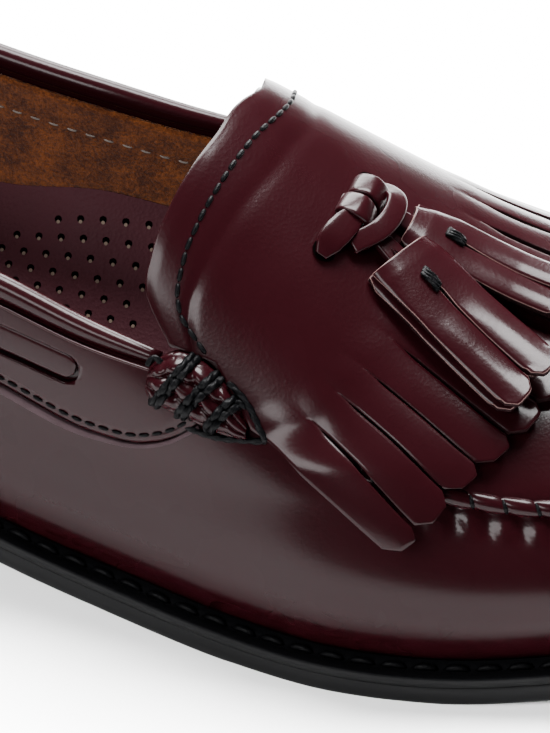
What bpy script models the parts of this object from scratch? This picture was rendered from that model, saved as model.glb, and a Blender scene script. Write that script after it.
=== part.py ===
"""A tassel loafer for the right foot, about men's size 42, built on its last.

The last is a table of cross sections. Everything that covers it is cut from the same
skin: the upper is that skin with a wall, and the overlays are patches lifted off it.
x runs from the heel to the toe, y to the inner side of the foot, and z up.
Sizes are in millimetres and are made metres when a mesh is written.
"""
import math
from collections import namedtuple

import bpy
import bmesh
import numpy as np

MM = 0.001
OBJECT_NAME = "tassel_loafer"

# Driving sizes of the last and the bottom
LAST_LENGTH = 284.0
HEEL_ROUND = 30.0
TOE_ROUND = 42.0
TOE_BOX = 28.0
TOE_BOX_POWER = 2.3
TOE_TIP = 0.975
TIP_SHARE = 0.05
SWELL_SHARE = 0.45
HEEL_WAIST_HEIGHT = 52.0
HEEL_WAIST_TO_TOP = 34.0
HEEL_WAIST_TO_FOOT = 21.0
HEEL_REACH = 70.0
COUNTER_LEAN_TOP = 6.5
COUNTER_LEAN_FOOT = 3.0
UPPER_WALL = 1.9
FIT_GAP = 0.3
OVERLAY_GAP = 0.45
OUTSOLE_THICK = 4.0
WELT_THICK = 2.2
EDGE_HEIGHT = OUTSOLE_THICK + WELT_THICK + FIT_GAP
INSOLE_RISE = 2.4
INSOLE_EASE = 0.6
INSOLE_STEP = 11.0
TOE_SPRING = 0.17
HEEL_INSET = 0.6
HEEL_TAPER = 0.9
HEEL_BREAST = 74.0
TOP_PIECE_THICK = 6.0
EDGE_CHAMFER = 0.7
SOLE_STEP = 9.0
HEM = 2.0
CUTTER_REACH = 12.0
CUTTER_STEP = 7.3
COLLAR_SIDES = 8
COLLAR_STEP = 9.5
COLLAR_FLATNESS = 0.9
COLLAR_MIDDLE = (90.0, 0.0, 60.0)
SHOE_MIDDLE = (150.0, 0.0, 25.0)
CUTTER_GREY = (0.5, 0.5, 0.5)
CUTTER_BACK = -30.0
CUTTER_TOP = 140.0
SIDE_REACH = 90.0
UPPER_STEP = 8.0
UPPER_HALF_POINTS = 15
GIRTH_POINTS = 90
NORMAL_STEP = 0.4

# One row for each cross section of the last. lateral and medial are the half widths at
# the feather edge, feather its height and crown the height of the ridge at crown_y.
# The side swells by bulge, bulge_rise above the feather, and power squares the arch.
Section = namedtuple("Section", "s lateral medial feather crown crown_y bulge bulge_rise power")
LAST = [
    Section(0, 29.0, 29.0, 30.5, 108.0, 0.0, 1.5, 20.0, 2.0),
    Section(30, 29.5, 29.0, 29.5, 108.0, 0.0, 1.8, 20.0, 2.0),
    Section(60, 31.0, 27.0, 27.0, 105.0, 0.5, 2.0, 18.0, 2.0),
    Section(90, 33.5, 24.0, 20.0, 101.0, 1.5, 2.2, 16.0, 2.0),
    Section(120, 37.0, 25.0, 12.0, 93.0, 2.0, 2.5, 14.0, 2.0),
    Section(147, 40.2, 30.0, 8.2, 83.0, 2.5, 2.6, 13.0, 2.1),
    Section(165, 42.5, 34.5, 6.5, 72.5, 3.0, 2.6, 12.5, 2.15),
    Section(184, 44.2, 38.8, 6.3, 61.0, 3.5, 2.4, 12.0, 2.2),
    Section(205, 41.0, 41.2, 6.5, 51.0, 4.0, 2.2, 11.5, 2.2),
    Section(226, 34.5, 40.6, 8.4, 45.6, 4.5, 2.0, 11.0, 2.2),
    Section(245, 28.5, 36.8, 10.6, 42.0, 5.0, 1.8, 11.0, 2.3),
    Section(260, 25.5, 33.5, 12.8, 40.0, 5.0, 1.6, 11.0, 2.3),
    Section(284, 22.0, 30.0, 16.8, 38.5, 4.5, 1.2, 11.0, 2.3),
]

# How far the sole edge stands out past the feather edge
Margin = namedtuple("Margin", "s width")
SOLE_MARGIN = [Margin(0, 4.3), Margin(60, 4.8), Margin(120, 6.3), Margin(150, 6.9), Margin(284, 6.9)]

# The collar, seen from the side: the top of its roll and how tall the roll is there
Collar = namedtuple("Collar", "s top roll")
COLLAR = [
    Collar(0, 85.0, 4.8), Collar(20, 84.0, 4.8), Collar(50, 77.5, 4.8), Collar(80, 70.5, 4.8),
    Collar(100, 66.5, 4.8), Collar(119, 62.4, 4.7), Collar(134, 58.6, 4.2), Collar(149, 55.6, 3.0),
]
COLLAR_END = 149.0

# The tongue's rear edge, seen from the side, from the collar corner up to the ridge
Corner = namedtuple("Corner", "s z")
TONGUE_EDGE = [
    Corner(154.6, 53.0), Corner(152.0, 56.5), Corner(147.6, 60.5), Corner(145.4, 65.0),
    Corner(144.6, 70.0), Corner(145.4, 76.0), Corner(147.2, 81.0), Corner(148.6, 86.0),
]

# The seam under the quarter, seen from the side, and the quarter's front end
Seam = namedtuple("Seam", "s z")
QUARTER_SEAM = [
    Seam(0, 62.0), Seam(40, 59.0), Seam(80, 53.0), Seam(120, 43.6), Seam(139, 39.3), Seam(147.2, 39.6),
]
QUARTER_END = 147.2
QUARTER_WALL = 1.2
QUARTER_STEP = 7.0
QUARTER_ROWS = 5

# Slots in the quarter where the collar lace shows, seen from the side
SLOT_REAR = (97.0, 56.6)
SLOT_FRONT = (132.6, 50.3)
SLOT_RADIUS = 2.8
LACE_WALL = 0.9
LACE_MARGIN = 0.6
LACE_END_GAP = 1.2
LACE_END_SHARE = 0.55
LACE_ROWS = 9

# Cuts between the strips of the kiltie, from its side edge to the ridge: where each line
# leaves the rear edge, starts as a cut and ends. q is the girth from the ridge, lift how
# far the strip stands off the vamp at its tip and lift_by the share by which it does.
Strip = namedtuple("Strip", "rear_q start_s start_q tip_s tip_q lift lift_by")
STRIPS = [
    Strip(46.3, 167.5, 51.3, 195.0, 57.0, 2.6, 0.35),
    Strip(40.0, 177.0, 44.3, 199.5, 51.0, 2.6, 0.50),
    Strip(34.1, 180.0, 37.8, 203.0, 43.4, 2.4, 0.80),
    Strip(28.7, 183.0, 31.8, 207.0, 37.0, 1.8, 1.00),
    Strip(22.1, 186.0, 24.5, 211.0, 30.0, 1.2, 1.00),
    Strip(16.0, 188.5, 17.7, 214.0, 22.0, 1.0, 1.00),
    Strip(9.9, 190.5, 11.0, 216.0, 13.5, 1.0, 1.00),
    Strip(3.6, 192.0, 4.0, 217.5, 4.8, 1.0, 1.00),
]
KILTIE_WALL = 1.6
KILTIE_WAIST_SHARE = 44.6 / 51.3
STRIP_GAP = 0.6
TIP_CLIP = 2.0
STRIP_LENGTH = 28.0

# The kiltie's rear edge over the girth
Edge = namedtuple("Edge", "q s")
KILTIE_EDGE = [
    Edge(0, 149.2), Edge(8, 148.9), Edge(16, 147.3), Edge(25, 145.7),
    Edge(34, 144.9), Edge(40, 145.4), Edge(46.3, 151.2),
]

# The inner half of the last is narrower, so girths on it are drawn in by this share
Draw = namedtuple("Draw", "s share")
INNER_GIRTH = [Draw(148, 0.805), Draw(200, 0.945)]

# The apron seam in plan: an arc round the toe for each side, which would start at start
# and is drawn from rear_s, where the kiltie's strips cover it
ApronSide = namedtuple("ApronSide", "side rear_s start reach power")
APRON = [ApronSide(-1, 190.0, 170.0, 44.8, 1.75), ApronSide(1, 190.0, 196.0, 32.5, 1.9)]
APRON_NOSE = (265.0, 4.5)
SEAM_HALF = 1.6
SEAM_RISE = 1.5
SEAM_CREST_SHARE = 0.6
SEAM_ROWS = 14

# The gathered corner between quarter and kiltie, seen from the side
Roll = namedtuple("Roll", "s z half rise")
BEEF_ROLL = [
    Roll(147.8, 49.8, 3.0, 2.4), Roll(150.5, 50.6, 3.6, 3.4), Roll(155.0, 50.3, 3.6, 3.6),
    Roll(160.0, 48.8, 2.8, 3.2), Roll(163.5, 47.2, 1.8, 2.4),
]

# Lace and tassels on the kiltie
KILTIE_TOP = OVERLAY_GAP + KILTIE_WALL
LACE_REST = KILTIE_TOP + 0.4
TASSEL_WALL = 2.2

Lump = namedtuple("Lump", "s_low s_high q_low q_high rise")
LUMP_END_LOSS = 0.75
LUMP_FULLNESS = 0.7
KNOT_WRAP = Lump(169.6, 175.6, -17.5, 2.6, 3.4)
KNOT_BAND = Lump(174.4, 180.6, -13.4, 1.2, 4.4)

# One row down a tassel: the middle of the slit, half the width, and the lift of each edge
Tassel = namedtuple("Tassel", "s q half outer_lift inner_lift")
TASSEL_LATERAL = [
    Tassel(181.6, -10.6, 6.2, 0.3, 3.3), Tassel(186.0, -13.0, 6.6, 0.4, 3.4),
    Tassel(190.0, -14.9, 6.6, 0.6, 3.0), Tassel(197.0, -16.9, 6.5, 1.2, 2.6),
    Tassel(204.0, -18.9, 6.4, 2.0, 2.8), Tassel(209.6, -20.6, 6.3, 2.6, 3.2),
]
TASSEL_MEDIAL = [
    Tassel(181.6, -2.2, 5.4, 0.2, 0.2), Tassel(186.0, -2.2, 5.6, 0.3, 0.3),
    Tassel(190.0, -2.0, 5.5, 0.4, 0.4), Tassel(197.0, -1.8, 5.4, 0.8, 0.8),
    Tassel(204.0, -1.7, 5.3, 1.4, 1.4), Tassel(210.6, -1.6, 5.3, 2.0, 2.0),
]
TASSEL_SPLIT = 2
TASSEL_CLIP_SHARE = 0.8


def cubic(rows, field, s):
    """Value of one column at s, on a smooth cubic through the rows."""
    xs = np.array([row[0] for row in rows], float)
    ys = np.array([getattr(row, field) for row in rows], float)
    s = np.clip(np.asarray(s, float), xs[0], xs[-1])
    slope = np.gradient(ys, xs)
    i = np.clip(np.searchsorted(xs, s, side="right") - 1, 0, len(xs) - 2)
    step = xs[i + 1] - xs[i]
    t = (s - xs[i]) / step
    start = (2 * t**3 - 3 * t**2 + 1) * ys[i] + (t**3 - 2 * t**2 + t) * step * slope[i]
    return start + (3 * t**2 - 2 * t**3) * ys[i + 1] + (t**3 - t**2) * step * slope[i + 1]


def straight(rows, field, s):
    """Value of one column at s, on straight lines between the rows."""
    return np.interp(s, [row[0] for row in rows], [getattr(row, field) for row in rows])


def width_share(s):
    """Share of the full width at s: quarter circles round off the heel and the toe."""
    heel = np.clip(1 - s / HEEL_ROUND, 0, 1)
    toe = np.clip((s - LAST_LENGTH + TOE_ROUND) / TOE_ROUND, 0, 1)
    return np.sqrt(1 - heel**2) * np.sqrt(1 - toe**2)


def height_share(s):
    """Share of the full height at s: the toe box rounds down to a short upright tip."""
    toe = TOE_TIP * np.clip((s - LAST_LENGTH + TOE_BOX) / TOE_BOX, 0, 1)
    return (1 - toe**TOE_BOX_POWER) ** (1 / TOE_BOX_POWER)


def measure(s, side):
    """Foot, widest point, ridge and heights of one half section; side is -1 or 1."""
    lateral, medial = cubic(LAST, "lateral", s), cubic(LAST, "medial", s)
    share = width_share(s)
    middle = (medial - lateral) / 2
    half = (medial + lateral) / 2 * share
    foot = middle + side * half
    wide = foot + side * cubic(LAST, "bulge", s) * share
    ridge = middle + (cubic(LAST, "crown_y", s) - middle) * share
    feather = cubic(LAST, "feather", s)
    top = (cubic(LAST, "crown", s) - feather) * height_share(s)
    rise = cubic(LAST, "bulge_rise", s) * np.maximum(height_share(s), TIP_SHARE)
    rise = np.minimum(rise, top * SWELL_SHARE)
    return foot, wide, ridge, feather, top, rise


def lean(s, z):
    """How far the counter leans forward at height z, fading out ahead of the heel."""
    above = COUNTER_LEAN_TOP * ((z - HEEL_WAIST_HEIGHT) / HEEL_WAIST_TO_TOP) ** 2
    below = COUNTER_LEAN_FOOT * ((HEEL_WAIST_HEIGHT - z) / HEEL_WAIST_TO_FOOT) ** 2
    return np.clip(1 - s / HEEL_REACH, 0, 1) ** 2 * np.where(z > HEEL_WAIST_HEIGHT, above, below)


def section_half(s, side, count):
    """Points of half sections from the ridge down to the feather edge: an arch, then a swell."""
    s = np.atleast_1d(np.asarray(s, float))[:, None]
    foot, wide, ridge, feather, top, rise = measure(s, side)
    swell = max(2, count // 5)
    angle = np.linspace(math.pi / 2, 0, count - swell)[None]
    power = 2 / cubic(LAST, "power", s)
    arch_y = ridge + (wide - ridge) * np.cos(angle).clip(0, 1) ** power
    arch_z = rise + (top - rise) * np.sin(angle).clip(0, 1) ** power
    part = np.linspace(1, 0, swell + 1)[None, 1:]
    side_y = foot + (wide - foot) * np.sin(part * math.pi / 2)
    y = np.concatenate([arch_y, side_y], 1)
    z = np.concatenate([arch_z, rise * part], 1) + feather
    return np.stack([s + lean(s, z), y, z], -1)


def at_height(s, side, z):
    """Point of the skin at station s and height z."""
    foot, wide, ridge, feather, top, rise = measure(s, side)
    up = np.clip((z - feather - rise) / (top - rise), 0, 1)
    power = cubic(LAST, "power", s)
    arch = ridge + (wide - ridge) * (1 - up**power) ** (1 / power)
    swell = foot + (wide - foot) * np.sin(np.clip((z - feather) / rise, 0, 1) * math.pi / 2)
    y = np.where(z > feather + rise, arch, swell)
    return np.stack([s + lean(s, z), y, z + 0 * y], -1)


def at_girth(s, q):
    """Point of the skin at station s, q millimetres round from the ridge, + to the inner side."""
    s, q = np.broadcast_arrays(np.asarray(s, float), np.asarray(q, float))
    q = np.where(q > 0, q * straight(INNER_GIRTH, "share", s), q)
    points = np.zeros(s.shape + (3,))
    for place in np.ndindex(s.shape):
        line = section_half(s[place], 1 if q[place] > 0 else -1, GIRTH_POINTS)[0]
        run = np.concatenate([[0.0], np.cumsum(np.linalg.norm(np.diff(line, axis=0), axis=1))])
        points[place] = [np.interp(abs(q[place]), run, line[:, k]) for k in range(3)]
    return points


def at_plan(s, y):
    """Point of the arch above the plan point (s, y)."""
    side = np.where(y < APRON_NOSE[1], -1.0, 1.0)
    foot, wide, ridge, feather, top, rise = measure(s, side)
    power = cubic(LAST, "power", s)
    out = np.clip(np.abs((y - ridge) / (wide - ridge)), 0, 0.999)
    z = feather + rise + (top - rise) * (1 - out**power) ** (1 / power)
    return np.stack([s + 0 * y, y + 0 * s, z], -1)


def lifted(surface, u, v, height):
    """Points of surface(u, v), moved out along the normal by height."""
    across = surface(u + NORMAL_STEP, v) - surface(u - NORMAL_STEP, v)
    along = surface(u, v + NORMAL_STEP) - surface(u, v - NORMAL_STEP)
    normal = np.cross(across, along)
    normal /= np.linalg.norm(normal, axis=-1, keepdims=True)
    base = surface(u, v)
    core = np.stack([base[..., 0], 0 * base[..., 1], 0 * base[..., 2] + SHOE_MIDDLE[2]], -1)
    outward = np.sign(((base - core) * normal).sum(-1, keepdims=True))
    return base + normal * outward * np.asarray(height, float)[..., None]


def sole_centre():
    """Middle of the sole's outline in plan, which is the origin of the finished shoe."""
    s = stations(LAST_LENGTH, SOLE_STEP)
    outline = layer(s, sole_margin(s), sole_bottom) * (1, 1, 0)
    return (outline.min(axis=0) + outline.max(axis=0)) / 2


def new_object(name, vertices, faces, color, roughness, collection):
    """Mesh object from points in millimetres, with its own material."""
    mesh = bpy.data.meshes.new(name)
    placed = (np.array(vertices, float) - sole_centre()) * MM
    mesh.from_pydata([tuple(map(float, point)) for point in placed], [], faces)
    work = bmesh.new()
    work.from_mesh(mesh)
    bmesh.ops.remove_doubles(work, verts=work.verts, dist=0.00001)
    bmesh.ops.recalc_face_normals(work, faces=work.faces)
    work.to_mesh(mesh)
    work.free()
    material = bpy.data.materials.new(name)
    material.use_nodes = True
    shader = material.node_tree.nodes["Principled BSDF"]
    shader.inputs["Base Color"].default_value = (*color, 1.0)
    shader.inputs["Roughness"].default_value = roughness
    mesh.materials.append(material)
    piece = bpy.data.objects.new(name, mesh)
    collection.objects.link(piece)
    return piece


def add_wall(piece, thickness):
    """Give an open surface its wall; a positive thickness grows outwards."""
    wall = piece.modifiers.new("wall", "SOLIDIFY")
    wall.thickness = abs(thickness) * MM
    wall.offset = math.copysign(1.0, thickness)
    wall.use_even_offset = True
    wall.use_quality_normals = True


def cut(piece, cutter):
    """Cut a cutter's shape out of a piece."""
    boolean = piece.modifiers.new("cut", "BOOLEAN")
    boolean.operation = "DIFFERENCE"
    boolean.solver = "EXACT"
    boolean.object = cutter


def as_cutter(piece):
    """Mark a solid as a cutter, which isn't part of the shoe."""
    piece.hide_render = True
    piece.display_type = "WIRE"
    return piece


def side_prism(name, outline, reach, collection):
    """Wire cutter: an outline of (x, z) points in the side view, run through along y."""
    count = len(outline)
    vertices = [(x, -reach, z) for x, z in outline] + [(x, reach, z) for x, z in outline]
    sides = [(i, (i + 1) % count, count + (i + 1) % count, count + i) for i in range(count)]
    ends = [tuple(range(count)), tuple(range(2 * count - 1, count - 1, -1))]
    return as_cutter(new_object(name, vertices, sides + ends, CUTTER_GREY, 0.5, collection))


def stations(end, middle_step):
    """Stations from the heel to end, closer together where the outline turns."""
    heel = HEEL_ROUND * (1 - np.cos(np.linspace(0, math.pi / 2, 8)))
    if end < LAST_LENGTH - TOE_ROUND:
        count = max(2, round((end - HEEL_ROUND) / middle_step) + 1)
        return np.concatenate([heel[:-1], np.linspace(HEEL_ROUND, end, count)])
    toe = LAST_LENGTH - TOE_ROUND * (1 - np.cos(np.linspace(math.pi / 2, 0, 11)))
    count = round((toe[0] - HEEL_ROUND) / middle_step) + 1
    return np.concatenate([heel[:-1], np.linspace(HEEL_ROUND, toe[0], count)[:-1], toe])


def edge_pair(s, margin):
    """Feather edge on both sides, moved out in plan by margin."""
    rims = []
    for side in (-1, 1):
        near = np.stack([section_half(s + d, side, 8)[:, -1, :2] for d in (-0.02, 0.0, 0.02)])
        run = near[2] - near[0]
        run[0] = (0, side)
        if s[-1] >= LAST_LENGTH:
            run[-1] = (0, -side)
        run /= np.linalg.norm(run, axis=1, keepdims=True)
        out = np.stack([run[:, 1], -run[:, 0]], 1) * -side
        rims.append(near[1] + out * margin[:, None])
    return rims


def layer(s, margin, height):
    """One closed ring of a bottom piece, at height(x): the outer side, then the inner side back."""
    lateral, medial = edge_pair(s, margin + 0 * s)
    plan = np.concatenate([lateral, medial[::-1]])
    return np.column_stack([plan, height(plan[:, 0]) + 0 * plan[:, 0]])


def bottom_piece(name, s, layers, color, roughness, collection):
    """Solid from rings stacked bottom to top, closed by rungs across the first and last ring."""
    count = len(s)
    ring = 2 * count
    vertices = np.concatenate(layers)
    faces = []
    for k in range(len(layers) - 1):
        for i in range(ring):
            j = (i + 1) % ring
            faces.append((k * ring + i, k * ring + j, (k + 1) * ring + j, (k + 1) * ring + i))
    for base in (0, (len(layers) - 1) * ring):
        for i in range(count - 1):
            faces.append((base + i, base + i + 1, base + ring - 2 - i, base + ring - 1 - i))
    return new_object(name, vertices, faces, color, roughness, collection)


def ring_piece(name, rings, color, roughness, collection):
    """Hoop whose cross section is one point from each ring."""
    count = len(rings[0])
    vertices = np.concatenate(rings)
    faces = []
    for k in range(len(rings)):
        m = (k + 1) % len(rings)
        for i in range(count):
            j = (i + 1) % count
            faces.append((k * count + i, k * count + j, m * count + j, m * count + i))
    return new_object(name, vertices, faces, color, roughness, collection)


def grid_faces(rows, columns, first=0):
    """Quads of a grid of points stored row by row."""
    return [
        (first + r * columns + c, first + r * columns + c + 1,
         first + (r + 1) * columns + c + 1, first + (r + 1) * columns + c)
        for r in range(rows - 1) for c in range(columns - 1)
    ]


def sole_margin(s):
    return straight(SOLE_MARGIN, "width", s)


def feather_height(x):
    """Height of the feather edge at x, going on straight past the toe."""
    return cubic(LAST, "feather", x) + TOE_SPRING * np.maximum(x - LAST_LENGTH, 0)


def above_feather(rise):
    """Height function that follows the feather edge, moved up by rise."""
    return lambda x: feather_height(x) + rise


def level(height):
    """Height function of a flat layer."""
    return lambda x: height + 0 * x


def sole_bottom(x):
    """Underside of the outsole: flat under the ball, raised at the waist and the toe."""
    return np.maximum(feather_height(x) - EDGE_HEIGHT, 0.0)


def make_outsole(collection):
    """Leather outsole, cut to the true outline and chamfered at the lower corner of its edge."""
    s = stations(LAST_LENGTH, SOLE_STEP)
    edge = sole_margin(s)
    layers = [
        layer(s, edge - EDGE_CHAMFER, sole_bottom),
        layer(s, edge, lambda x: sole_bottom(x) + EDGE_CHAMFER),
        layer(s, edge, above_feather(-WELT_THICK - FIT_GAP)),
    ]
    return bottom_piece("outsole", s, layers, (0.035, 0.035, 0.036), 0.45, collection)


def make_welt(collection):
    """Welt: a strip all round between upper and outsole, under the upper's wall."""
    s = stations(LAST_LENGTH, SOLE_STEP)
    edge = sole_margin(s)
    rings = [
        layer(s, edge, above_feather(-WELT_THICK)),
        layer(s, edge, above_feather(-FIT_GAP - EDGE_CHAMFER)),
        layer(s, edge - EDGE_CHAMFER, above_feather(-FIT_GAP)),
        layer(s, -UPPER_WALL, above_feather(-FIT_GAP)),
        layer(s, -UPPER_WALL, above_feather(-WELT_THICK)),
    ]
    rings = [np.delete(ring, (len(s), 2 * len(s) - 1), axis=0) for ring in rings]
    return ring_piece("welt", rings, (0.012, 0.012, 0.013), 0.5, collection)


def make_heel(collection):
    """Heel of stacked lifts under the seat, and the rubber top piece that it walks on."""
    s = stations(HEEL_BREAST, SOLE_STEP)
    edge = sole_margin(s) - HEEL_INSET
    stack = [
        layer(s, edge - HEEL_TAPER, level(TOP_PIECE_THICK + FIT_GAP)),
        layer(s, edge, lambda x: sole_bottom(x) - FIT_GAP),
    ]
    bottom_piece("heel", s, stack, (0.03, 0.03, 0.031), 0.45, collection)
    edge = edge - HEEL_TAPER
    tip = [
        layer(s, edge - EDGE_CHAMFER, level(0.0)),
        layer(s, edge, level(EDGE_CHAMFER)),
        layer(s, edge, level(TOP_PIECE_THICK)),
    ]
    bottom_piece("heel_top_piece", s, tip, (0.02, 0.02, 0.02), 0.7, collection)


def make_insole(collection):
    """Insole with its sock: fills the bottom inside the wall and lies on the outsole."""
    s = stations(LAST_LENGTH, INSOLE_STEP)
    inside = -UPPER_WALL - INSOLE_EASE
    layers = [
        layer(s, inside, above_feather(-WELT_THICK)),
        layer(s, inside, above_feather(INSOLE_RISE)),
    ]
    return bottom_piece("insole", s, layers, (0.085, 0.024, 0.032), 0.6, collection)


def wall_top(s):
    """Top of the upper's own wall, just under the collar roll."""
    return cubic(COLLAR, "top", s) - cubic(COLLAR, "roll", s) - FIT_GAP


def make_upper(collection, cutters):
    """The upper: the last's skin with a wall, open underneath and at the collar."""
    s = stations(LAST_LENGTH, UPPER_STEP)
    lateral = section_half(s, -1, UPPER_HALF_POINTS)[:, ::-1]
    medial = section_half(s, 1, UPPER_HALF_POINTS)[:, 1:]
    grid = np.concatenate([lateral, medial], 1)
    grid[:, (0, -1), 2] -= HEM
    columns = grid.shape[1]
    upper = new_object(
        "upper", grid.reshape(-1, 3), grid_faces(len(s), columns), (0.075, 0.012, 0.02), 0.2, collection)
    add_wall(upper, -UPPER_WALL)
    run = np.linspace(0, COLLAR_END, 22)
    outline = [(CUTTER_BACK, float(wall_top(0.0)))]
    outline += [(float(x + lean(x, z)), float(z)) for x, z in zip(run, wall_top(run))]
    outline += [(row.s, row.z) for row in TONGUE_EDGE]
    outline += [(TONGUE_EDGE[-1].s, CUTTER_TOP), (CUTTER_BACK, CUTTER_TOP)]
    cut(upper, side_prism("collar_cutter", outline, SIDE_REACH, cutters))
    run = np.arange(-CUTTER_REACH, LAST_LENGTH + 2 * CUTTER_REACH, CUTTER_STEP)
    outline = [(float(x), float(z)) for x, z in zip(run, feather_height(run))]
    outline += [(outline[-1][0], -CUTTER_REACH), (outline[0][0], -CUTTER_REACH)]
    cut(upper, side_prism("feather_cutter", outline, SIDE_REACH, cutters))
    return upper


def tube(name, rings, color, roughness, collection):
    """Closed solid from rings of equal length, with an end cap on the first and the last."""
    sides = len(rings[0])
    vertices = np.concatenate(rings)
    faces = []
    for k in range(len(rings) - 1):
        for i in range(sides):
            j = (i + 1) % sides
            faces.append((k * sides + i, k * sides + j, (k + 1) * sides + j, (k + 1) * sides + i))
    last = (len(rings) - 1) * sides
    faces += [tuple(range(sides)), tuple(range(last + sides - 1, last - 1, -1))]
    return new_object(name, vertices, faces, color, roughness, collection)


def unit(vectors):
    return vectors / np.linalg.norm(vectors, axis=-1, keepdims=True)


def make_collar_roll(collection):
    """Rolled binding along the collar, from corner to corner round the heel."""
    one_side = stations(COLLAR_END, COLLAR_STEP)
    s = np.concatenate([one_side[:0:-1], one_side])
    side = np.where(np.arange(len(s)) < len(one_side) - 1, -1.0, 1.0)
    half = cubic(COLLAR, "roll", s) / 2
    middle = at_height(s, side, cubic(COLLAR, "top", s) - half)
    run = unit(np.gradient(middle, axis=0))
    inward = unit(np.cross(run, (0.0, 0.0, 1.0)))
    inward *= -np.sign((inward * (middle - COLLAR_MIDDLE)).sum(1, keepdims=True))
    up = np.cross(run, inward)
    middle = middle + inward * UPPER_WALL / 2
    angles = np.linspace(0, 2 * math.pi, COLLAR_SIDES, endpoint=False)
    thick = COLLAR_FLATNESS * half
    rings = [
        middle[k] + np.outer(np.cos(angles) * thick[k], inward[k]) + np.outer(np.sin(angles) * half[k], up[k])
        for k in range(len(s))
    ]
    return tube("collar_roll", rings, (0.075, 0.012, 0.02), 0.2, collection)


def make_quarter(collection, cutters):
    """Overlay round the heel and both sides, from the collar roll down to its seam."""
    one_side = stations(QUARTER_END, QUARTER_STEP)
    s = np.concatenate([one_side[:0:-1], one_side])[:, None]
    side = np.where(np.arange(len(s)) < len(one_side) - 1, -1.0, 1.0)[:, None]
    part = np.linspace(0, 1, QUARTER_ROWS)[None]
    top, low = wall_top(s) - FIT_GAP, cubic(QUARTER_SEAM, "z", s)
    z = top + (low - top) * part
    base = at_height(s + 0 * z, side, z)
    run = np.gradient(base, axis=0)
    out = unit(np.cross(run, np.gradient(base, axis=1)))
    out *= np.sign((out * (base - COLLAR_MIDDLE)).sum(-1, keepdims=True))
    grid = base + out * OVERLAY_GAP
    rows, columns = z.shape
    quarter = new_object(
        "quarter", grid.reshape(-1, 3), grid_faces(rows, columns), (0.075, 0.012, 0.02), 0.2, collection)
    add_wall(quarter, wall_side(quarter) * QUARTER_WALL)
    slope = math.atan2(SLOT_FRONT[1] - SLOT_REAR[1], SLOT_FRONT[0] - SLOT_REAR[0])
    turn = np.linspace(-math.pi / 2, math.pi / 2, 7) + slope
    round_end = SLOT_RADIUS * np.column_stack([np.cos(turn), np.sin(turn)])
    outline = [tuple(point) for point in np.concatenate([SLOT_FRONT + round_end, SLOT_REAR - round_end])]
    cut(quarter, side_prism("slot_cutter", outline, SIDE_REACH, cutters))
    return quarter


def wall_side(piece):
    """1 where a sheet's faces already point away from the shoe's middle, otherwise -1."""
    middle = (np.array(SHOE_MIDDLE) - sole_centre()) * MM
    facing = sum(
        face.area * float(np.dot(face.normal, np.array(face.center) - middle)) for face in piece.data.polygons)
    return 1.0 if facing > 0 else -1.0


def skin_of(side):
    """The upper's outer surface on one side, as a function of station and height."""
    return lambda s, z: at_height(s, side, z)


def make_lace(side, name, collection):
    """The collar lace where it shows in one slot: a flat thong lying on the upper."""
    skin = skin_of(side)
    reach = SLOT_RADIUS - LACE_END_GAP
    s = np.linspace(SLOT_REAR[0] - reach, SLOT_FRONT[0] + reach, LACE_ROWS)
    share = (s - SLOT_REAR[0]) / (SLOT_FRONT[0] - SLOT_REAR[0])
    z = SLOT_REAR[1] + share * (SLOT_FRONT[1] - SLOT_REAR[1])
    half = np.full(len(s), SLOT_RADIUS - LACE_MARGIN)
    half[[0, -1]] *= LACE_END_SHARE
    rings = []
    for k in range(len(s)):
        heights = z[k] + half[k] * np.array([-1.0, 1.0])
        low = lifted(skin, s[k] + 0 * heights, heights, 0 * heights + OVERLAY_GAP)
        high = lifted(skin, s[k] + 0 * heights, heights, 0 * heights + OVERLAY_GAP + LACE_WALL)
        rings.append(np.concatenate([low, high[::-1]]))
    return tube(name, rings, (0.05, 0.01, 0.016), 0.3, collection)


def apron_path():
    """Plan points of the apron seam, from under the outer strips round the toe to the inner ones."""
    nose_s, nose_y = APRON_NOSE
    halves = []
    for row in APRON:
        begin = max(row.rear_s - row.start, 0.0) / (nose_s - row.start)
        turn = np.linspace(math.asin(begin ** (row.power / 2)), math.pi / 2, SEAM_ROWS)
        s = row.start + (nose_s - row.start) * np.sin(turn) ** (2 / row.power)
        y = nose_y + row.side * row.reach * np.cos(turn) ** (2 / row.power)
        if row.rear_s < row.start:
            s, y = np.append(row.rear_s, s), np.append(y[0], y)
        halves.append(np.column_stack([s, y]))
    return np.concatenate([halves[0], halves[1][-2::-1]])


def make_apron_seam(collection):
    """Raised hand-sewn seam between the apron and the side wall: a low ridge on the skin."""
    plan = apron_path()
    middle = at_plan(plan[:, 0], plan[:, 1])
    out = lifted(at_plan, plan[:, 0], plan[:, 1], np.ones(len(plan))) - middle
    run = unit(np.gradient(middle, axis=0))
    across = unit(np.cross(run, out))
    rings = []
    for k in range(len(plan)):
        rings.append(np.array([
            middle[k] - across[k] * SEAM_HALF + out[k] * OVERLAY_GAP,
            middle[k] - across[k] * SEAM_HALF * SEAM_CREST_SHARE + out[k] * SEAM_RISE,
            middle[k] + across[k] * SEAM_HALF * SEAM_CREST_SHARE + out[k] * SEAM_RISE,
            middle[k] + across[k] * SEAM_HALF + out[k] * OVERLAY_GAP,
        ]))
    return tube("apron_seam", rings, (0.07, 0.012, 0.02), 0.25, collection)


def make_beef_roll(side, name, collection):
    """Gathered corner of the quarter, wrapped with thread: a tapering half-round roll."""
    skin = skin_of(side)
    rings = []
    turn = np.linspace(0, math.pi, 6)
    for row in BEEF_ROLL:
        heights = row.z + row.half * np.cos(turn)
        lift = OVERLAY_GAP + row.rise * np.sin(turn)
        rings.append(lifted(skin, row.s + 0 * heights, heights, lift))
    return tube(name, rings, (0.06, 0.012, 0.02), 0.3, collection)


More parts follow.
